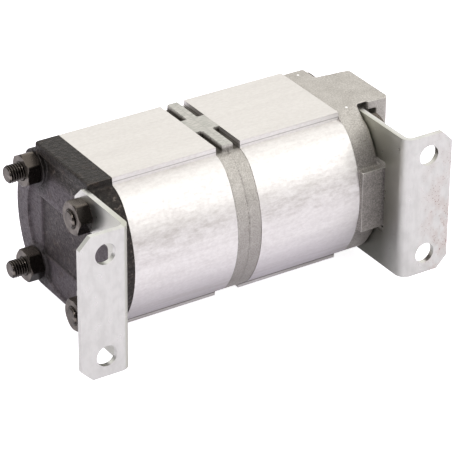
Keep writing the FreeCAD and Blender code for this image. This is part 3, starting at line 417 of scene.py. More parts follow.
def cast_skin_tree():
    """A casting's skin: small uneven bumps that only sink into the surface."""
    tree, given, result = group_tree("Cast skin", {
        "Geometry": "NodeSocketGeometry", "Grain size": 0.0012, "Grain height": 0.0001,
        "Material": "NodeSocketMaterial"})
    # Fine grain on a swell eight times as wide, lowered so that hardly a bump stands above the surface.
    fine = add(tree, MATH, (1.0, given["Grain size"]), operation="DIVIDE")
    wide = add(tree, MATH, (0.12, given["Grain size"]), operation="DIVIDE")
    grain = add(tree, "ShaderNodeTexNoise", {"Scale": fine, "Detail": 3.0, "Roughness": 0.6})
    swell = add(tree, "ShaderNodeTexNoise", {"Scale": wide, "Detail": 2.0})
    both = add(tree, MATH, (swell, 0.6, grain), operation="MULTIPLY_ADD")
    below = add(tree, MATH, (both, 1.1), operation="SUBTRACT")
    depth = add(tree, MATH, (below, given["Grain height"]), operation="MULTIPLY")
    normal = add(tree, "GeometryNodeInputNormal")
    offset = add(tree, "ShaderNodeVectorMath", {0: normal, "Scale": depth}, operation="SCALE")
    moved = add(tree, "GeometryNodeSetPosition", {"Geometry": given["Geometry"], "Offset": offset})
    end_tree(tree, result, moved, given["Material"])
    return tree


METAL = {"Metallic": 1.0}


def begin_material(name, values):
    """A material with only its shader, set to these values, and the piece's own coordinates in metres."""
    material = bpy.data.materials.new(name)
    material.use_nodes = True
    tree = material.node_tree
    tree.nodes.clear()
    shader = add(tree, "ShaderNodeBsdfPrincipled", values)
    add(tree, "ShaderNodeOutputMaterial", (shader,))
    place = add(tree, "ShaderNodeTexCoord").outputs["Object"]
    return material, tree, shader, place


def pattern(tree, place, sizes, detail=3.0, roughness=0.55):
    """Noise whose grain is this many millimetres along each axis."""
    scale = tuple(MM_PER_METRE / size for size in sizes)
    mapped = add(tree, "ShaderNodeMapping", {"Vector": place, "Scale": scale})
    return add(tree, "ShaderNodeTexNoise", {
        "Vector": mapped, "Scale": 1.0, "Detail": detail, "Roughness": roughness})


def specks(tree, place, spacing, size, chance):
    """1 inside scattered round specks and 0 elsewhere, from spacing and size in millimetres."""
    mapped = add(tree, "ShaderNodeMapping", {"Vector": place, "Scale": (MM_PER_METRE / spacing,) * 3})
    cells = add(tree, "ShaderNodeTexVoronoi", {"Vector": mapped, "Scale": 1.0, "Randomness": 1.0}).outputs
    near = add(tree, RANGE, (cells["Distance"], size / spacing, size / spacing * 0.6))
    pick = add(tree, "ShaderNodeSeparateColor", (cells["Color"],))
    return overlap(tree, near, add(tree, MATH, (pick, chance), operation="LESS_THAN"))


def band(tree, value, middle, outer, inner, strength=1.0):
    """A stripe round one level: nothing beyond the outer distance from it, full within the inner one."""
    offset = add(tree, MATH, (value, middle), operation="SUBTRACT")
    away = add(tree, MATH, (offset,), operation="ABSOLUTE")
    return add(tree, RANGE, (away, outer, inner, 0.0, strength))


def spot(tree, place, centre, outer, inner, strength=1.0):
    """A round spot: nothing beyond the outer distance from its centre, full within the inner one."""
    away = add(tree, "ShaderNodeVectorMath", {0: place, 1: centre}, operation="DISTANCE")
    return add(tree, RANGE, (away, outer, inner, 0.0, strength))


def overlap(tree, mask, *others):
    """Where several masks meet; a plain number among them weakens the rest."""
    for other in others:
        mask = add(tree, MATH, (mask, other), operation="MULTIPLY")
    return mask


def layers(tree, colour, *coats):
    """Coats laid over a colour in turn, each where its mask lets it show."""
    for mask, coat in coats:
        colour = add(tree, MIX, {0: mask, 6: colour, 7: coat}, data_type="RGBA")
    return colour


def complete(tree, shader, colour, roughness, height, depth):
    """Give a shader its colour, its roughness as a mapped pattern, and its relief in millimetres."""
    relief = add(tree, "ShaderNodeBump", {"Height": height, "Distance": depth * MM, "Strength": 1.0})
    feed(tree, shader.inputs["Base Color"], colour)
    feed(tree, shader.inputs["Roughness"], add(tree, RANGE, roughness))
    feed(tree, shader.inputs["Normal"], relief)


# Heights on a gear body that its finish follows: where a change starts and where it is full.
MILLED_LEVEL = (0.0442, 0.0446)
# Painted shade low on the sides: where it starts and is full, then where it stops above the bottom.
LOW_SHADE_LEVEL = (-0.008, -0.036)
LOW_SHADE_END = (-0.0430, -0.0425)
STREAK_LEVEL = (-0.022, -0.033)
# Stripes along it: their height, how far from it they start and are full, and how strong they are.
# The first stripe is painted reflection, the other two painted shade in creases.
REFLECTION_BAND = (0.013, 0.015, 0.003)
UPPER_CREASE_SHADE = (0.0424, 0.00035, 0.0001, 0.5)
LOWER_CREASE_SHADE = (-0.0426, 0.0006, 0.0003, 0.9)


def make_extruded_aluminium(finish):
    """Aluminium pushed through a die: bright, with faint lines along the shaft and a few pits.

    Its port faces are milled duller. Painted shade lines lie in the crease below them and low on the flank, a
    darker mottled band half way up is painted reflection, and painted shade darkens the sides low down, over
    long streaks.
    """
    material, tree, shader, place = begin_material("Extruded aluminium, satin", METAL)
    level = add(tree, "ShaderNodeSeparateXYZ", (place,)).outputs[2]
    lines = pattern(tree, place, (34.0, 1.1, 1.1))
    bands = pattern(tree, place, (70.0, 7.0, 7.0))
    mottle = pattern(tree, place, (2.6, 1.6, 1.6), 4.0, 0.65)
    pits = specks(tree, place, 11.0, 0.42, 0.12)
    fine_lines = add(tree, MATH, (lines, 0.22), operation="MULTIPLY")
    broad_lines = add(tree, MATH, (bands, 0.62), operation="MULTIPLY")
    drawn = add(tree, MATH, (fine_lines, broad_lines), operation="ADD")
    uneven = add(tree, MATH, (mottle, 0.7, drawn), operation="MULTIPLY_ADD")
    milled = add(tree, RANGE, (level, *MILLED_LEVEL, 0.0, 0.5))
    # Painted shade low on the sides, stopping just above the bottom.
    painted_shade = overlap(tree, add(tree, RANGE, (level, *LOW_SHADE_LEVEL)), add(tree, RANGE, (level, *LOW_SHADE_END)))
    # A darker mottled band half way up the sides: painted reflection.
    band_mottle = add(tree, RANGE, (pattern(tree, place, (9.0, 3.2, 3.2), 5.0, 0.75), 0.42, 0.66))
    reflection_band = overlap(tree, band(tree, level, *REFLECTION_BAND), band_mottle, 0.5)
    long_marks = add(tree, RANGE, (pattern(tree, place, (60.0, 2.2, 1.6), 4.0), 0.44, 0.62))
    streaks = overlap(tree, long_marks, add(tree, RANGE, (level, *STREAK_LEVEL, 0.0, 0.45)))
    # Thin dark lines below the port faces and low on the flank: painted shade in creases.
    crease_shades = (band(tree, level, *UPPER_CREASE_SHADE), band(tree, level, *LOWER_CREASE_SHADE))
    crease_shade = add(tree, MATH, crease_shades, operation="MAXIMUM")
    dark = add(tree, MATH, (overlap(tree, pits, 0.7), crease_shade), operation="MAXIMUM")
    colour = layers(
        tree, finish.extrusion, (add(tree, RANGE, (uneven, 0.6, 1.0)), finish.extrusion_dull),
        (milled, finish.extrusion_milled), (painted_shade, finish.extrusion_low_shade), (reflection_band, finish.extrusion_streak_and_reflection),
        (streaks, finish.extrusion_streak_and_reflection), (dark, finish.extrusion_pit_and_shade))
    faint = add(tree, MATH, (mottle, 0.35), operation="MULTIPLY")
    grain = add(tree, MATH, (lines, 0.4, faint), operation="MULTIPLY_ADD")
    height = add(tree, MATH, (grain, pits), operation="SUBTRACT")
    complete(tree, shader, colour, (mottle, 0.3, 0.7, 0.42, 0.56), height, 0.03)
    return material


# The port cover's painted shade low on its front: forward of the first, below the second and to the right of
# the third.
COVER_SHADE_FRONT = (0.040, 0.026)
COVER_SHADE_LEVEL = (0.040, 0.028)
COVER_SHADE_FROM = 0.03


def cast_grain(tree, place, finish):
    """The grain and colours of die-cast aluminium: mid grey, salt and pepper, with bright edges that are
    partly painted highlight, and painted shade low on the port cover's front.
    """
    grain = pattern(tree, place, (0.75, 0.75, 0.75), 3.0, 0.8)
    cloud = pattern(tree, place, (9.0, 9.0, 9.0))
    uneven = add(tree, MATH, (cloud, 0.25, grain), operation="MULTIPLY_ADD")
    tone = add(tree, RANGE, (uneven, 0.48, 0.78))
    edges = add(tree, "ShaderNodeNewGeometry").outputs["Pointiness"]
    across, front, level = add(tree, "ShaderNodeSeparateXYZ", (place,)).outputs
    # Painted shade low on the port cover's front.
    cover_shade = overlap(
        tree, add(tree, RANGE, (front, *COVER_SHADE_FRONT)), add(tree, RANGE, (level, *COVER_SHADE_LEVEL)),
        add(tree, MATH, (across, COVER_SHADE_FROM), operation="GREATER_THAN"))
    colour = layers(
        tree, layers(tree, finish.casting_dark, (tone, finish.casting)),
        (cover_shade, layers(tree, finish.casting_painted_shade_dark, (tone, finish.casting_painted_shade))),
        # Bright convex edges: wear, with painted highlight as well.
        (add(tree, RANGE, (edges, 0.53, 0.58, 0.0, 0.75)), finish.casting_edge_highlight))
    return grain, colour


# The painted glints' centres, and how far from them they start and are full.
GLINT_SPOTS = ((0.0772, 0.0925, 0.0449), (0.0777, 0.0463, 0.0447))
GLINT_REACH = (0.0009, 0.0006)


def make_cast_cover(finish):
    """Die-cast aluminium, blasted, with small pure white spots painted as glints."""
    material, tree, shader, place = begin_material("Die-cast aluminium, blasted", METAL)
    grain, colour = cast_grain(tree, place, finish)
    for centre in GLINT_SPOTS:
        colour = layers(tree, colour, (spot(tree, place, centre, *GLINT_REACH), finish.casting_glint))
    complete(tree, shader, colour, (grain, 0.3, 0.7, 0.5, 0.66), grain, 0.16)
    return material


# Places on an intermediate plate: its ground lands, its pockets between land and rib, painted dark as shade,
# and its foot, painted darker as shade.
LAND_LEVEL = (0.0440, 0.0446)
POCKET_TOP = (0.0440, 0.0428)
POCKET_FOOT = (0.030, 0.036)
POCKET_WIDTH = (0.0715, 0.0300, 0.0270)
SHADED_LEVEL = (0.030, -0.030)
SHADED_FRONT = (0.045, 0.030)


def make_cast_plate(finish):
    """Die-cast aluminium with lands ground level with the port faces, painted shade in the pockets and
    painted shade low on the front.
    """
    material, tree, shader, place = begin_material("Die-cast aluminium, lands ground", METAL)
    grain, colour = cast_grain(tree, place, finish)
    front, level = add(tree, "ShaderNodeSeparateXYZ", (place,)).outputs[1:]
    marks = add(tree, RANGE, (pattern(tree, place, (5.0, 0.6, 3.0)), 0.4, 0.65))
    ground = layers(tree, finish.casting_ground, (marks, finish.casting))
    # Painted shade in the pockets.
    pocket_shade = overlap(
        tree, add(tree, RANGE, (level, *POCKET_TOP)), add(tree, RANGE, (level, *POCKET_FOOT)),
        band(tree, front, *POCKET_WIDTH), 0.85)
    # Painted shade low on the plate's front.
    shaded = overlap(
        tree, add(tree, RANGE, (level, *SHADED_LEVEL, 0.0, 0.5)), add(tree, RANGE, (front, *SHADED_FRONT)))
    colour = layers(
        tree, colour, (add(tree, RANGE, (level, *LAND_LEVEL)), ground), (pocket_shade, finish.casting_pocket_shade),
        (shaded, finish.casting_painted_shade_dark))
    complete(tree, shader, colour, (grain, 0.3, 0.7, 0.5, 0.66), grain, 0.16)
    return material


# Places on the end cover: its thinly coated outer face, its round side, and painted shadow round the nuts.
OUTER_FACE = (-0.0820, -0.0832)
OUTER_LEVEL = (0.0325, 0.0270)
SIDE_LEVEL = (0.0415, 0.0385)
NUT_SHADOW_SPOTS = [(-0.0835, across, level) for across in (0.0395, 0.0985) for level in (-0.0300, 0.0280)]
NUT_SHADOW_REACH = (0.0140, 0.0100, 0.75)


def make_coated_iron(finish):
    """Sand-cast iron under a thin charcoal coat: coarse skin, lighter on its crests, warm in places; its
    creases carry painted shade, the cover round the nuts painted shadow, and its sharp edges wear with
    painted highlight.
    """
    material, tree, shader, place = begin_material(
        "Cast iron, charcoal coat", {"Metallic": 0.35, "Specular IOR Level": 0.35})
    along, _, level = add(tree, "ShaderNodeSeparateXYZ", (place,)).outputs
    edges = add(tree, "ShaderNodeNewGeometry").outputs["Pointiness"]
    coarse = pattern(tree, place, (2.4, 2.4, 1.8), 3.0, 0.6)
    fine = pattern(tree, place, (0.9, 0.9, 0.9), 3.0, 0.7)
    faint = add(tree, MATH, (fine, 0.45), operation="MULTIPLY")
    grain = add(tree, MATH, (coarse, 0.85, faint), operation="MULTIPLY_ADD")
    outer = overlap(tree, add(tree, RANGE, (along, *OUTER_FACE)), add(tree, RANGE, (level, *OUTER_LEVEL)))
    side = add(tree, RANGE, (level, *SIDE_LEVEL))
    coat = layers(tree, finish.iron, (side, finish.iron_side), (outer, finish.iron_face))
    hollow = layers(tree, finish.iron_hollow_and_shade, (outer, finish.iron_face_dark))
    warm = add(tree, RANGE, (pattern(tree, place, (8.0, 8.0, 5.0), 4.0), 0.56, 0.75))
    inner = add(tree, MATH, (1.0, outer), operation="SUBTRACT")
    skin = overlap(tree, add(tree, RANGE, (level, *SIDE_LEVEL, 0.12, 0.5)), inner)
    crests = overlap(tree, add(tree, RANGE, (grain, 0.71, 0.85)), skin)
    # Sharp convex edges lightened: wear, with painted highlight as well.
    sharp_edge_highlight = add(tree, RANGE, (edges, 0.525, 0.59, 0.0, 0.8))
    colour = layers(
        tree, hollow, (add(tree, RANGE, (grain, 0.42, 0.86)), coat),
        (overlap(tree, warm, 0.45), finish.iron_rust),
        # Concave edges darkened: painted shade in creases.
        (add(tree, RANGE, (edges, 0.485, 0.44, 0.0, 0.9)), finish.iron_hollow_and_shade),
        (add(tree, MATH, (crests, sharp_edge_highlight), operation="MAXIMUM"), finish.iron_crest_and_highlight))
    # Dark spots round the nuts: painted shadow.
    for centre in NUT_SHADOW_SPOTS:
        colour = layers(tree, colour, (spot(tree, place, centre, *NUT_SHADOW_REACH), finish.iron_hollow_and_shade))
    complete(tree, shader, colour, (grain, 0.4, 0.85, 0.5, 0.36), grain, 0.8)
    return material


def make_black_oxide(name, metal, dark, light, finish):
    """Machined steel under oiled black oxide: dark and half glossy, with worn patches. Faces that look up or
    along the shaft are painted lighter as light, the others painted darker as shade, and corners and crests
    carry wear with painted highlight.
    """
    material, tree, shader, place = begin_material(name, {"Metallic": metal})
    cloud = pattern(tree, place, (3.5, 3.5, 3.5), 4.0)
    fine = pattern(tree, place, (0.5, 0.5, 0.5), 2.0)
    surface = add(tree, "ShaderNodeNewGeometry").outputs
    sideways, _, upwards = add(tree, "ShaderNodeSeparateXYZ", (surface["Normal"],)).outputs
    # Painted light: faces that look up or along the shaft are lighter, and the others take the painted shade
    # colour.
    lit_upward = add(tree, RANGE, (upwards, 0.6, 0.9))
    lit_ends = add(tree, RANGE, (add(tree, MATH, (sideways,), operation="ABSOLUTE"), 0.5, 0.9))
    painted_light = add(tree, MATH, (lit_upward, lit_ends), operation="MAXIMUM")
    patches = add(tree, RANGE, (cloud, 0.52, 0.75))
    worn_and_lit = add(tree, MATH, (patches, overlap(tree, lit_upward, 0.8)), operation="MAXIMUM")
    # Corners and crests lightened: wear, with painted highlight as well.
    rubbed_and_highlit = add(tree, RANGE, (surface["Pointiness"], 0.52, 0.62, 0.0, 0.7))
    colour = layers(
        tree, finish.oxide_painted_shade, (painted_light, layers(tree, dark, (worn_and_lit, light))), (rubbed_and_highlit, finish.oxide_edge))
    complete(tree, shader, colour, (fine, 0.3, 0.7, 0.24, 0.36), fine, 0.012)
    return material


# Places on the brackets: the flank that the right one turns to the view and the left one's inner corner, both
# painted darker as shade, and the right one's foot, where water left rust.
SHADED_FLANK_ACROSS = (0.0872, 0.0852)
SHADED_FLANK_DEEP = (0.001, 0.020)
SHADED_CORNER_DEEP = (0.034, 0.006)
SHADED_CORNER_ACROSS = (-0.0892, -0.0884)
FLANK_SHADE_LEVEL = (0.034, -0.034)
RUST_ACROSS = (0.094, 0.105)
RUST_LEVEL = (0.034, -0.006)


def make_zinc_plate(finish):
    """Sheet steel with bright zinc plate: cloudy, with rolling lines and a few warm specks, and painted shade
    on the right bracket's inner flank and in the left one's inner corner.
    """
    material, tree, shader, place = begin_material("Sheet steel, zinc plated", METAL)
    across, deep, level = add(tree, "ShaderNodeSeparateXYZ", (place,)).outputs
    cloud = pattern(tree, place, (5.0, 5.0, 8.0), 4.0)
    lines = pattern(tree, place, (0.9, 0.9, 60.0), 2.0)
    fine = pattern(tree, place, (0.7, 0.7, 0.7), 2.0)
    uneven = add(tree, MATH, (lines, 0.15, cloud), operation="MULTIPLY_ADD")
    # Painted shade for the right bracket's inner flank, darker low down.
    painted_shade = layers(tree, finish.zinc_shade, (add(tree, RANGE, (level, *FLANK_SHADE_LEVEL)), finish.zinc_shade_low))
    on_right = add(tree, MATH, (across, 0.0), operation="GREATER_THAN")
    on_left = add(tree, MATH, (across, 0.0), operation="LESS_THAN")
    flank = overlap(
        tree, add(tree, RANGE, (across, *SHADED_FLANK_ACROSS)), on_right,
        add(tree, RANGE, (deep, *SHADED_FLANK_DEEP, 0.35, 1.0)))
    # Painted shade in the left bracket's inner corner.
    corner = overlap(
        tree, add(tree, RANGE, (deep, *SHADED_CORNER_DEEP)), add(tree, RANGE, (across, *SHADED_CORNER_ACROSS)), on_left)
    spots = add(tree, MATH, (
        specks(tree, place, 2.2, 0.55, 0.4), specks(tree, place, 1.0, 0.34, 0.4)), operation="MAXIMUM")
    patchy = add(tree, RANGE, (pattern(tree, place, (8.0, 8.0, 11.0)), 0.42, 0.56))
    soiled = overlap(
        tree, add(tree, RANGE, (across, *RUST_ACROSS)),
        add(tree, RANGE, (level, *RUST_LEVEL, 0.25, 1.0)), patchy)
    colour = layers(
        tree, finish.zinc, (add(tree, RANGE, (uneven, 0.5, 0.72)), finish.zinc_cloud), (flank, painted_shade),
        (corner, finish.zinc_shade), (overlap(tree, soiled, 0.4), finish.zinc_blush),
        (overlap(tree, spots, soiled, 0.85), finish.zinc_stain))
    height = add(tree, MATH, (lines, 0.5, fine), operation="MULTIPLY_ADD")
    complete(tree, shader, colour, (cloud, 0.3, 0.7, 0.26, 0.38), height, 0.012)
    return material


def one_grain(name, values, grain, colours, roughness, depth):
    """A simple finish: one fine pattern tints it, sets its gloss and gives its relief."""
    material, tree, shader, place = begin_material(name, values)
    marks = pattern(tree, place, *grain)
    dark, light = map(linear, colours)
    complete(tree, shader, layers(tree, dark, (marks, light)), (marks, 0.3, 0.7, *roughness), marks, depth)
    return material


def make_ground_steel():
    """Case-hardened gear steel, ground: fine marks across the shaft."""
    return one_grain(
        "Gear steel, ground", METAL, ((0.25, 6.0, 6.0), 2.0), ("A7A6A3", "BDBCB9"), (0.22, 0.34), 0.01)


def make_machined_aluminium():
    """Turned and milled aluminium: bright with fine tool marks."""
    return one_grain(
        "Aluminium, machined", METAL, ((0.3, 9.0, 9.0), 2.0), ("C4C3C0", "D9D8D5"), (0.26, 0.4), 0.015)


def make_nitrile_rubber():
    """Moulded nitrile rubber: near black and dull, with a faint bloom."""
    return one_grain(
        "Nitrile rubber, moulded", {"IOR": 1.52}, ((4.0, 4.0, 4.0),), ("171717", "262626"), (0.6, 0.75), 0.02)


def make_sintered_bronze():
    """Sintered bronze bearing face: warm, with open pores."""
    return one_grain(
        "Bronze, sintered", METAL, ((0.5, 0.5, 0.5), 3.0, 0.7), ("8A6A3E", "B08D57"), (0.3, 0.5), 0.03)


def make_table(stage):
    """Pale acrylic table, lit a little from below: faintly uneven, without gloss, and white to the camera."""
    material, tree, shader, place = begin_material(
        "Acrylic table, opal", {"Roughness": 0.9, "Emission Color": linear("FFFFFF")})
    uneven = add(tree, RANGE, (pattern(tree, place, (60.0, 60.0, 60.0), 2.0), 0.3, 0.7, 0.0, 0.15))
    seen = add(tree, "ShaderNodeLightPath").outputs["Is Camera Ray"]
    glow = add(tree, MATH, (seen, stage.floor_seen, stage.floor_glow), operation="MULTIPLY_ADD")
    feed(tree, shader.inputs["Base Color"], layers(tree, stage.floor_colour, (uneven, linear("E0DDE4"))))
    feed(tree, shader.inputs["Emission Strength"], glow)
    return material


def clothe(nodes, material):
    """Give carried-over CAD nodes their finish."""
    for name in nodes:
        item = frame["nodes"][name]
        item.data.materials.clear()
        item.data.materials.append(material)


class FD_OT_bodies(bpy.types.Operator):
    """Finish the two extruded gear bodies"""

    bl_idname = "flow_divider.bodies"
    bl_label = "Gear bodies"

    def execute(self, context):
        material = make_extruded_aluminium(context.scene.fd_finish)
        clothe(("gear_body_1", "gear_body_2"), material)
        return {"FINISHED"}


def soft_casting(context, node, material, slot, skin, strength, coarseness=1.0):
    """A cast piece from its CAD solid: edges rounded by remeshing, and a cast skin."""
    casting = context.scene.fd_casting
    mesh = frame["nodes"][node].data.copy()
    mesh.materials.clear()
    work = bmesh.new()
    work.from_mesh(mesh)
    bmesh.ops.remove_doubles(work, verts=work.verts, dist=1e-6)
    work.to_mesh(mesh)
    work.free()
    rough = put(mesh, node + "_rough")
    remesh = rough.modifiers.new("Mesh", "REMESH")
    remesh.mode = "VOXEL"
    remesh.voxel_size = casting.voxel * coarseness
    remesh.use_smooth_shade = True
    smooth = rough.modifiers.new("Soft edges", "SMOOTH")
    smooth.factor = 0.5
    smooth.iterations = casting.softening
    apply_tree(rough, skin, {
        "Grain size": casting.grain_size, "Grain height": casting.grain_height * strength,
        "Material": material})
    piece = settled(rough, "cast_" + node)
    piece.data.shade_smooth()
    finish_piece(piece, slot, node)


class FD_OT_castings(bpy.types.Operator):
    """Make the covers and intermediate plates as castings with soft edges"""

    bl_idname = "flow_divider.castings"
    bl_label = "Castings"

    def execute(self, context):
        finish = context.scene.fd_finish
        skin = cast_skin_tree()
        iron, blasted, ground = make_coated_iron(finish), make_cast_cover(finish), make_cast_plate(finish)
        soft_casting(context, "end_cover", iron, "black_cover", skin, strength=1.6)
        # The largest casting has a coarser mesh, so that it stays under 200,000 triangles.
        soft_casting(
            context, "port_cover", blasted, "cast_port_cover", skin, strength=0.5, coarseness=1.24)
        for node in ("intermediate_plate_1", "intermediate_plate_2"):
            soft_casting(context, node, ground, "cast_plate", skin, strength=0.5)
        return {"FINISHED"}


class FD_OT_brackets(bpy.types.Operator):
    """Finish the two bent brackets"""

    bl_idname = "flow_divider.brackets"
    bl_label = "Brackets"

    def execute(self, context):
        material = make_zinc_plate(context.scene.fd_finish)
        clothe(("bracket_left", "bracket_right"), material)
        return {"FINISHED"}


class FD_OT_studs(bpy.types.Operator):
    """Make the four tie studs with real threads"""

    bl_idname = "flow_divider.studs"
    bl_label = "Tie studs"

    def execute(self, context):
        fastener = context.scene.fd_fastener
        finish = context.scene.fd_finish
        material = make_black_oxide(
            "Steel, thin oxide on threads", 1.0, finish.thread, finish.thread_worn, finish)
        tree = stud_tree(thread_tree())
        for row in ("front", "rear"):
            node = "tie_studs_" + row
            low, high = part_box(node)
            item = put(bpy.data.meshes.new(node), node + "_threads")
            apply_tree(item, tree, {
                "Start": low.x, "End": high.x, "Left thread": fastener.thread_left,
                "Right thread": fastener.thread_right, "Across": (low.y + high.y) / 2,
                "Spacing": high.z - low.z - fastener.stud_radius * 2, "Radius": fastener.stud_radius,
                "Pitch": fastener.pitch, "Depth": fastener.thread_depth, "Chamfer": fastener.stud_chamfer,
                "Material": material})
            finish_piece(settled(item, "threaded_studs_" + row), "stud_black", node)
        return {"FINISHED"}


# A nut's mesh: points round it, and its rings from seat to top as shares of its height, close in the bevels.
NUT_SIDES = 144
NUT_RINGS = np.concatenate([np.linspace(0, 0.22, 12), np.linspace(0.3, 0.7, 3), np.linspace(0.78, 1, 12)])
# Its bore and the bore's mouth, as shares of the stud's radius, and the round on its six corners.
NUT_BORE = 0.93
NUT_MOUTH = 1.12
NUT_CORNER = 0.35 * MM


def nut_mesh(fastener):
    """A nut about the X axis from its seat at 0: flats bevelled by a cone at both ends, and a bored hole."""
    flat = fastener.nut_flats / 2
    height = fastener.nut_height
    face = fastener.nut_face / 2
    bore = fastener.stud_radius * NUT_BORE
    mouth = fastener.stud_radius * NUT_MOUTH
    angles = np.arange(NUT_SIDES) * 2 * math.pi / NUT_SIDES
    sector = (angles + math.pi / 6) % (math.pi / 3) - math.pi / 6
    corner = flat / math.cos(math.pi / 6) - NUT_CORNER
    hexagon = np.minimum(flat / np.cos(sector), corner)
    rows = []
    for rise in NUT_RINGS * height:
        cone = face + min(rise, height - rise) * math.sqrt(3)
        rows.append((rise, np.minimum(hexagon, cone)))
    inner = ((height, mouth), (height - (mouth - bore), bore), (mouth - bore, bore), (0.0, mouth))
    rows += [(rise, np.full(NUT_SIDES, radius)) for rise, radius in inner]
    points = [(rise, radius * math.cos(angle), radius * math.sin(angle))
              for rise, radii in rows for radius, angle in zip(radii, angles)]
    faces = []
    for row in range(len(rows)):
        here, there = row * NUT_SIDES, (row + 1) % len(rows) * NUT_SIDES
        for side in range(NUT_SIDES):
            right = (side + 1) % NUT_SIDES
            faces.append((here + side, here + right, there + right, there + side))
    mesh = bpy.data.meshes.new("nut_pattern")
    mesh.from_pydata(points, [], faces)
    mesh.update()
    return mesh


# Each pair of nuts, with the lower and the upper one's turn in degrees.
NUT_ROWS = (
    ("nuts_front_left", (20, 25)),
    ("nuts_rear_left", (32, 1)),
    ("nuts_front_right", (20, 50)),
    ("nuts_rear_right", (10, 35)),
)
# Nut faces that meet at more than this angle keep a sharp edge.
SHARP_ANGLE = math.radians(28)


class FD_OT_nuts(bpy.types.Operator):
    """Make the eight hexagon nuts, each bevelled and turned as it was tightened"""

    bl_idname = "flow_divider.nuts"
    bl_label = "Nuts"

    def execute(self, context):
        fastener = context.scene.fd_fastener
        finish = context.scene.fd_finish
        material = make_black_oxide("Steel, oiled black oxide", 0.8, finish.oxide, finish.oxide_worn, finish)
        nut = put(nut_mesh(fastener), "nut_pattern")
        tree = nut_tree()
        for node, turns in NUT_ROWS:
            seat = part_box(node)[0].x
            low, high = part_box("tie_studs_front" if "front" in node else "tie_studs_rear")
            across = (low.y + high.y) / 2
            level = (high.z - low.z) / 2 - fastener.stud_radius
            places = bpy.data.meshes.new(node)
            places.from_pydata([(seat, across, -level), (seat, across, level)], [], [])
            turn = places.attributes.new("turn", "FLOAT", "POINT")
            turn.data.foreach_set("value", [math.radians(angle) for angle in turns])
            item = put(places, node + "_places")
            apply_tree(item, tree, {"Pattern": nut, "Material": material})
            piece = settled(item, "hexagon_" + node)
            piece.data.shade_smooth()
            piece.data.set_sharp_from_angle(angle=SHARP_ANGLE)
            finish_piece(piece, "nut_black", node)
        bpy.data.objects.remove(nut)
        return {"FINISHED"}


# A port thread's centre line lies this share of its ridge inside the wall, and starts this share of a pitch
# from the mouth.
RIDGE_SUNK = 0.25
THREAD_START = 0.6


class FD_OT_port_threads(bpy.types.Operator):
    """Cut-thread crests inside the two outlets and the inlet"""

    bl_idname = "flow_divider.port_threads"
    bl_label = "Port threads"

    def execute(self, context):
        fastener = context.scene.fd_fastener
        material = make_machined_aluminium()
        tree = port_thread_tree()
        for mount in frame["record"]["mounts"]:
            if mount["kind"] != "threaded_hole":
                continue
            name = mount["name"]
            radius = mount["dims"]["r_mm"] * MM
            length = mount["dims"]["length_mm"] * MM
            turns = math.floor(length / fastener.port_pitch) - 1
            start = Vector(mount["pos_m"]) + Vector((0, 0, fastener.port_pitch * THREAD_START))
            item = put(bpy.data.meshes.new(name), name + "_helix")
            apply_tree(item, tree, {
                "Radius": radius + fastener.port_ridge * RIDGE_SUNK, "Pitch": fastener.port_pitch,
                "Turns": float(turns), "Ridge": fastener.port_ridge, "Place": start, "Material": material})
            slot = "cast_port_cover" if name == "inlet_port" else "extruded_body"
            finish_piece(settled(item, name + "_thread"), slot)
        return {"FINISHED"}


GEAR_ENDS = ("1_left", "1_right", "2_left", "2_right")
INNER_FINISHES = (
    (make_ground_steel, "gear_steel",
     ("drive_gear_1", "drive_gear_2", "driven_gear_1", "driven_gear_2", "shaft_coupling")),
    (make_ground_steel, "dowel_steel", ("dowel_pins",)),
    (make_machined_aluminium, "bearing_block", ["bearing_block_" + end for end in GEAR_ENDS]),
    (make_sintered_bronze, "bush_metal", ("bearing_bushes_1", "bearing_bushes_2")),
    (make_nitrile_rubber, "seal_rubber",
     [kind + end for kind in ("balance_seal_", "body_seal_") for end in GEAR_ENDS] + ["plate_seal"]),
)


class FD_OT_inner(bpy.types.Operator):
    """Finish the gears, bearings and seals inside"""

    bl_idname = "flow_divider.inner"
    bl_label = "Inner pieces"

    def execute(self, context):
        for make, slot, nodes in INNER_FINISHES:
            clothe(nodes, make())
        return {"FINISHED"}


# The table's half width and its gap below the object, and the point that the camera's distances count from.
TABLE_REACH = 3.0
TABLE_GAP = 0.0002
ANCHOR = (-0.0705, 0.0715, 0.0)
# The studio brightens between these two cosines of the angle to its bright way.
STUDIO_EDGE = (-0.05, 0.7)
# Each light with its place, its width, the setting that holds its power, and its linear colour.
LIGHTS = (
    ("Key", (0.75, -0.95, 0.62), 0.9, "key_power", (1.0, 0.99, 0.97)),
    ("Fill", (-1.05, -0.20, 0.62), 0.3, "fill_power", (1.0, 0.97, 0.98)),
)


def light_studio(scene, stage):
    """A studio that is bright one way and dim the other."""
    world = bpy.data.worlds.new("Studio")
    world.use_nodes = True
    tree = world.node_tree
    tree.nodes.clear()
    direction = add(tree, "ShaderNodeTexCoord").outputs["Generated"]
    facing = add(tree, "ShaderNodeVectorMath", {0: direction, 1: stage.bright_way}, operation="DOT_PRODUCT")
    light = add(tree, RANGE, (facing, *STUDIO_EDGE, stage.studio_dim, stage.studio_bright))
    add(tree, "ShaderNodeOutputWorld", (add(tree, "ShaderNodeBackground", (linear("FFFDFA"), light)),))
    scene.world = world


def area_light(scene, name, place, target, width, power, colour):
    """A soft square light that faces a point."""
    data = bpy.data.lights.new(name, "AREA")
    data.shape = "RECTANGLE"
    data.size = data.size_y = width
    data.energy = power
    data.color = colour
    lamp = bpy.data.objects.new(name, data)
    lamp.location = place
    lamp.rotation_euler = (target - Vector(place)).to_track_quat("-Z", "Y").to_euler()
    scene.collection.objects.link(lamp)


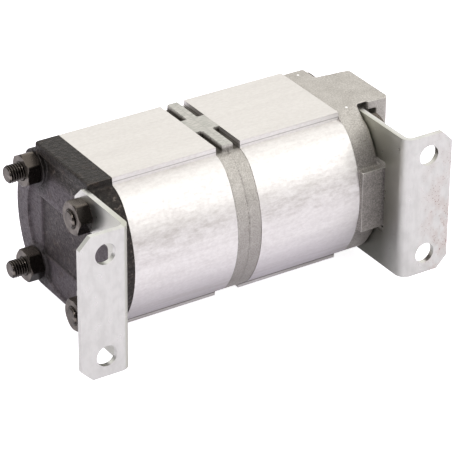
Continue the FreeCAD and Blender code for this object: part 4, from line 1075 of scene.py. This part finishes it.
def aim_camera(scene, stage):
    """The camera at the photograph's angle."""
    data = bpy.data.cameras.new("Camera")
    data.sensor_width = 36.0
    data.lens = stage.lens
    data.clip_end = 20.0
    camera = bpy.data.objects.new("Camera", data)
    scene.collection.objects.link(camera)
    turn, tilt, roll = stage.azimuth, stage.elevation, stage.roll
    back = Vector((math.sin(turn) * math.cos(tilt), -math.cos(turn) * math.cos(tilt), math.sin(tilt)))
    right = Vector((math.cos(turn), math.sin(turn), 0.0))
    above = back.cross(right)
    right, above = (right * math.cos(roll) - above * math.sin(roll),
                    right * math.sin(roll) + above * math.cos(roll))
    place = Vector(ANCHOR) + right * stage.shift_right + above * stage.shift_up + back * stage.distance
    axes = Matrix((right, above, back)).transposed().to_4x4()
    camera.matrix_world = Matrix.Translation(place) @ axes
    scene.camera = camera


class FD_OT_stage(bpy.types.Operator):
    """Set up the pale table, the soft studio light and the camera"""

    bl_idname = "flow_divider.stage"
    bl_label = "Stage"

    def execute(self, context):
        scene = context.scene
        stage = scene.fd_stage
        low, high = CAD_BOUNDS
        mesh = bpy.data.meshes.new("table")
        corners = [(x * TABLE_REACH, y * TABLE_REACH, low.z - TABLE_GAP)
                   for x, y in ((-1, -1), (1, -1), (1, 1), (-1, 1))]
        mesh.from_pydata(corners, [], [(0, 1, 2, 3)])
        mesh.materials.append(make_table(stage))
        put(mesh, "table")
        light_studio(scene, stage)
        for name, place, width, power, colour in LIGHTS:
            area_light(scene, name, place, (low + high) / 2, width, getattr(stage, power), colour)
        aim_camera(scene, stage)
        scene.view_settings.view_transform = "Standard"
        return {"FINISHED"}


OPERATORS = (
    FD_OT_bodies, FD_OT_castings, FD_OT_brackets, FD_OT_studs, FD_OT_nuts, FD_OT_port_threads, FD_OT_inner,
    FD_OT_stage,
)


class FD_PT_panel(bpy.types.Panel):
    """Sizes, colours and steps of the flow divider"""

    bl_idname = "FD_PT_panel"
    bl_label = "Flow divider"
    bl_space_type = "VIEW_3D"
    bl_region_type = "UI"
    bl_category = "Flow divider"

    def draw(self, context):
        for name, group in SETTINGS:
            box = self.layout.box()
            box.label(text=group.__doc__.rstrip("."))
            settings = getattr(context.scene, name)
            for key in group.__annotations__:
                box.prop(settings, key)
        for operator in OPERATORS:
            self.layout.operator(operator.bl_idname)


def register():
    """Register the settings, the operators and the panel."""
    for name, group in SETTINGS:
        bpy.utils.register_class(group)
        setattr(bpy.types.Scene, name, bpy.props.PointerProperty(type=group))
    for item in (*OPERATORS, FD_PT_panel):
        bpy.utils.register_class(item)


def unregister():
    """Undo what register does."""
    for item in reversed((*OPERATORS, FD_PT_panel)):
        bpy.utils.unregister_class(item)
    for name, group in reversed(SETTINGS):
        delattr(bpy.types.Scene, name)
        bpy.utils.unregister_class(group)


def main():
    """Register the settings, then make every piece and set the stage."""
    register()
    for step in ("bodies", "castings", "brackets", "studs", "nuts", "port_threads", "inner", "stage"):
        getattr(bpy.ops.flow_divider, step)()


if __name__ == "__main__":
    main()
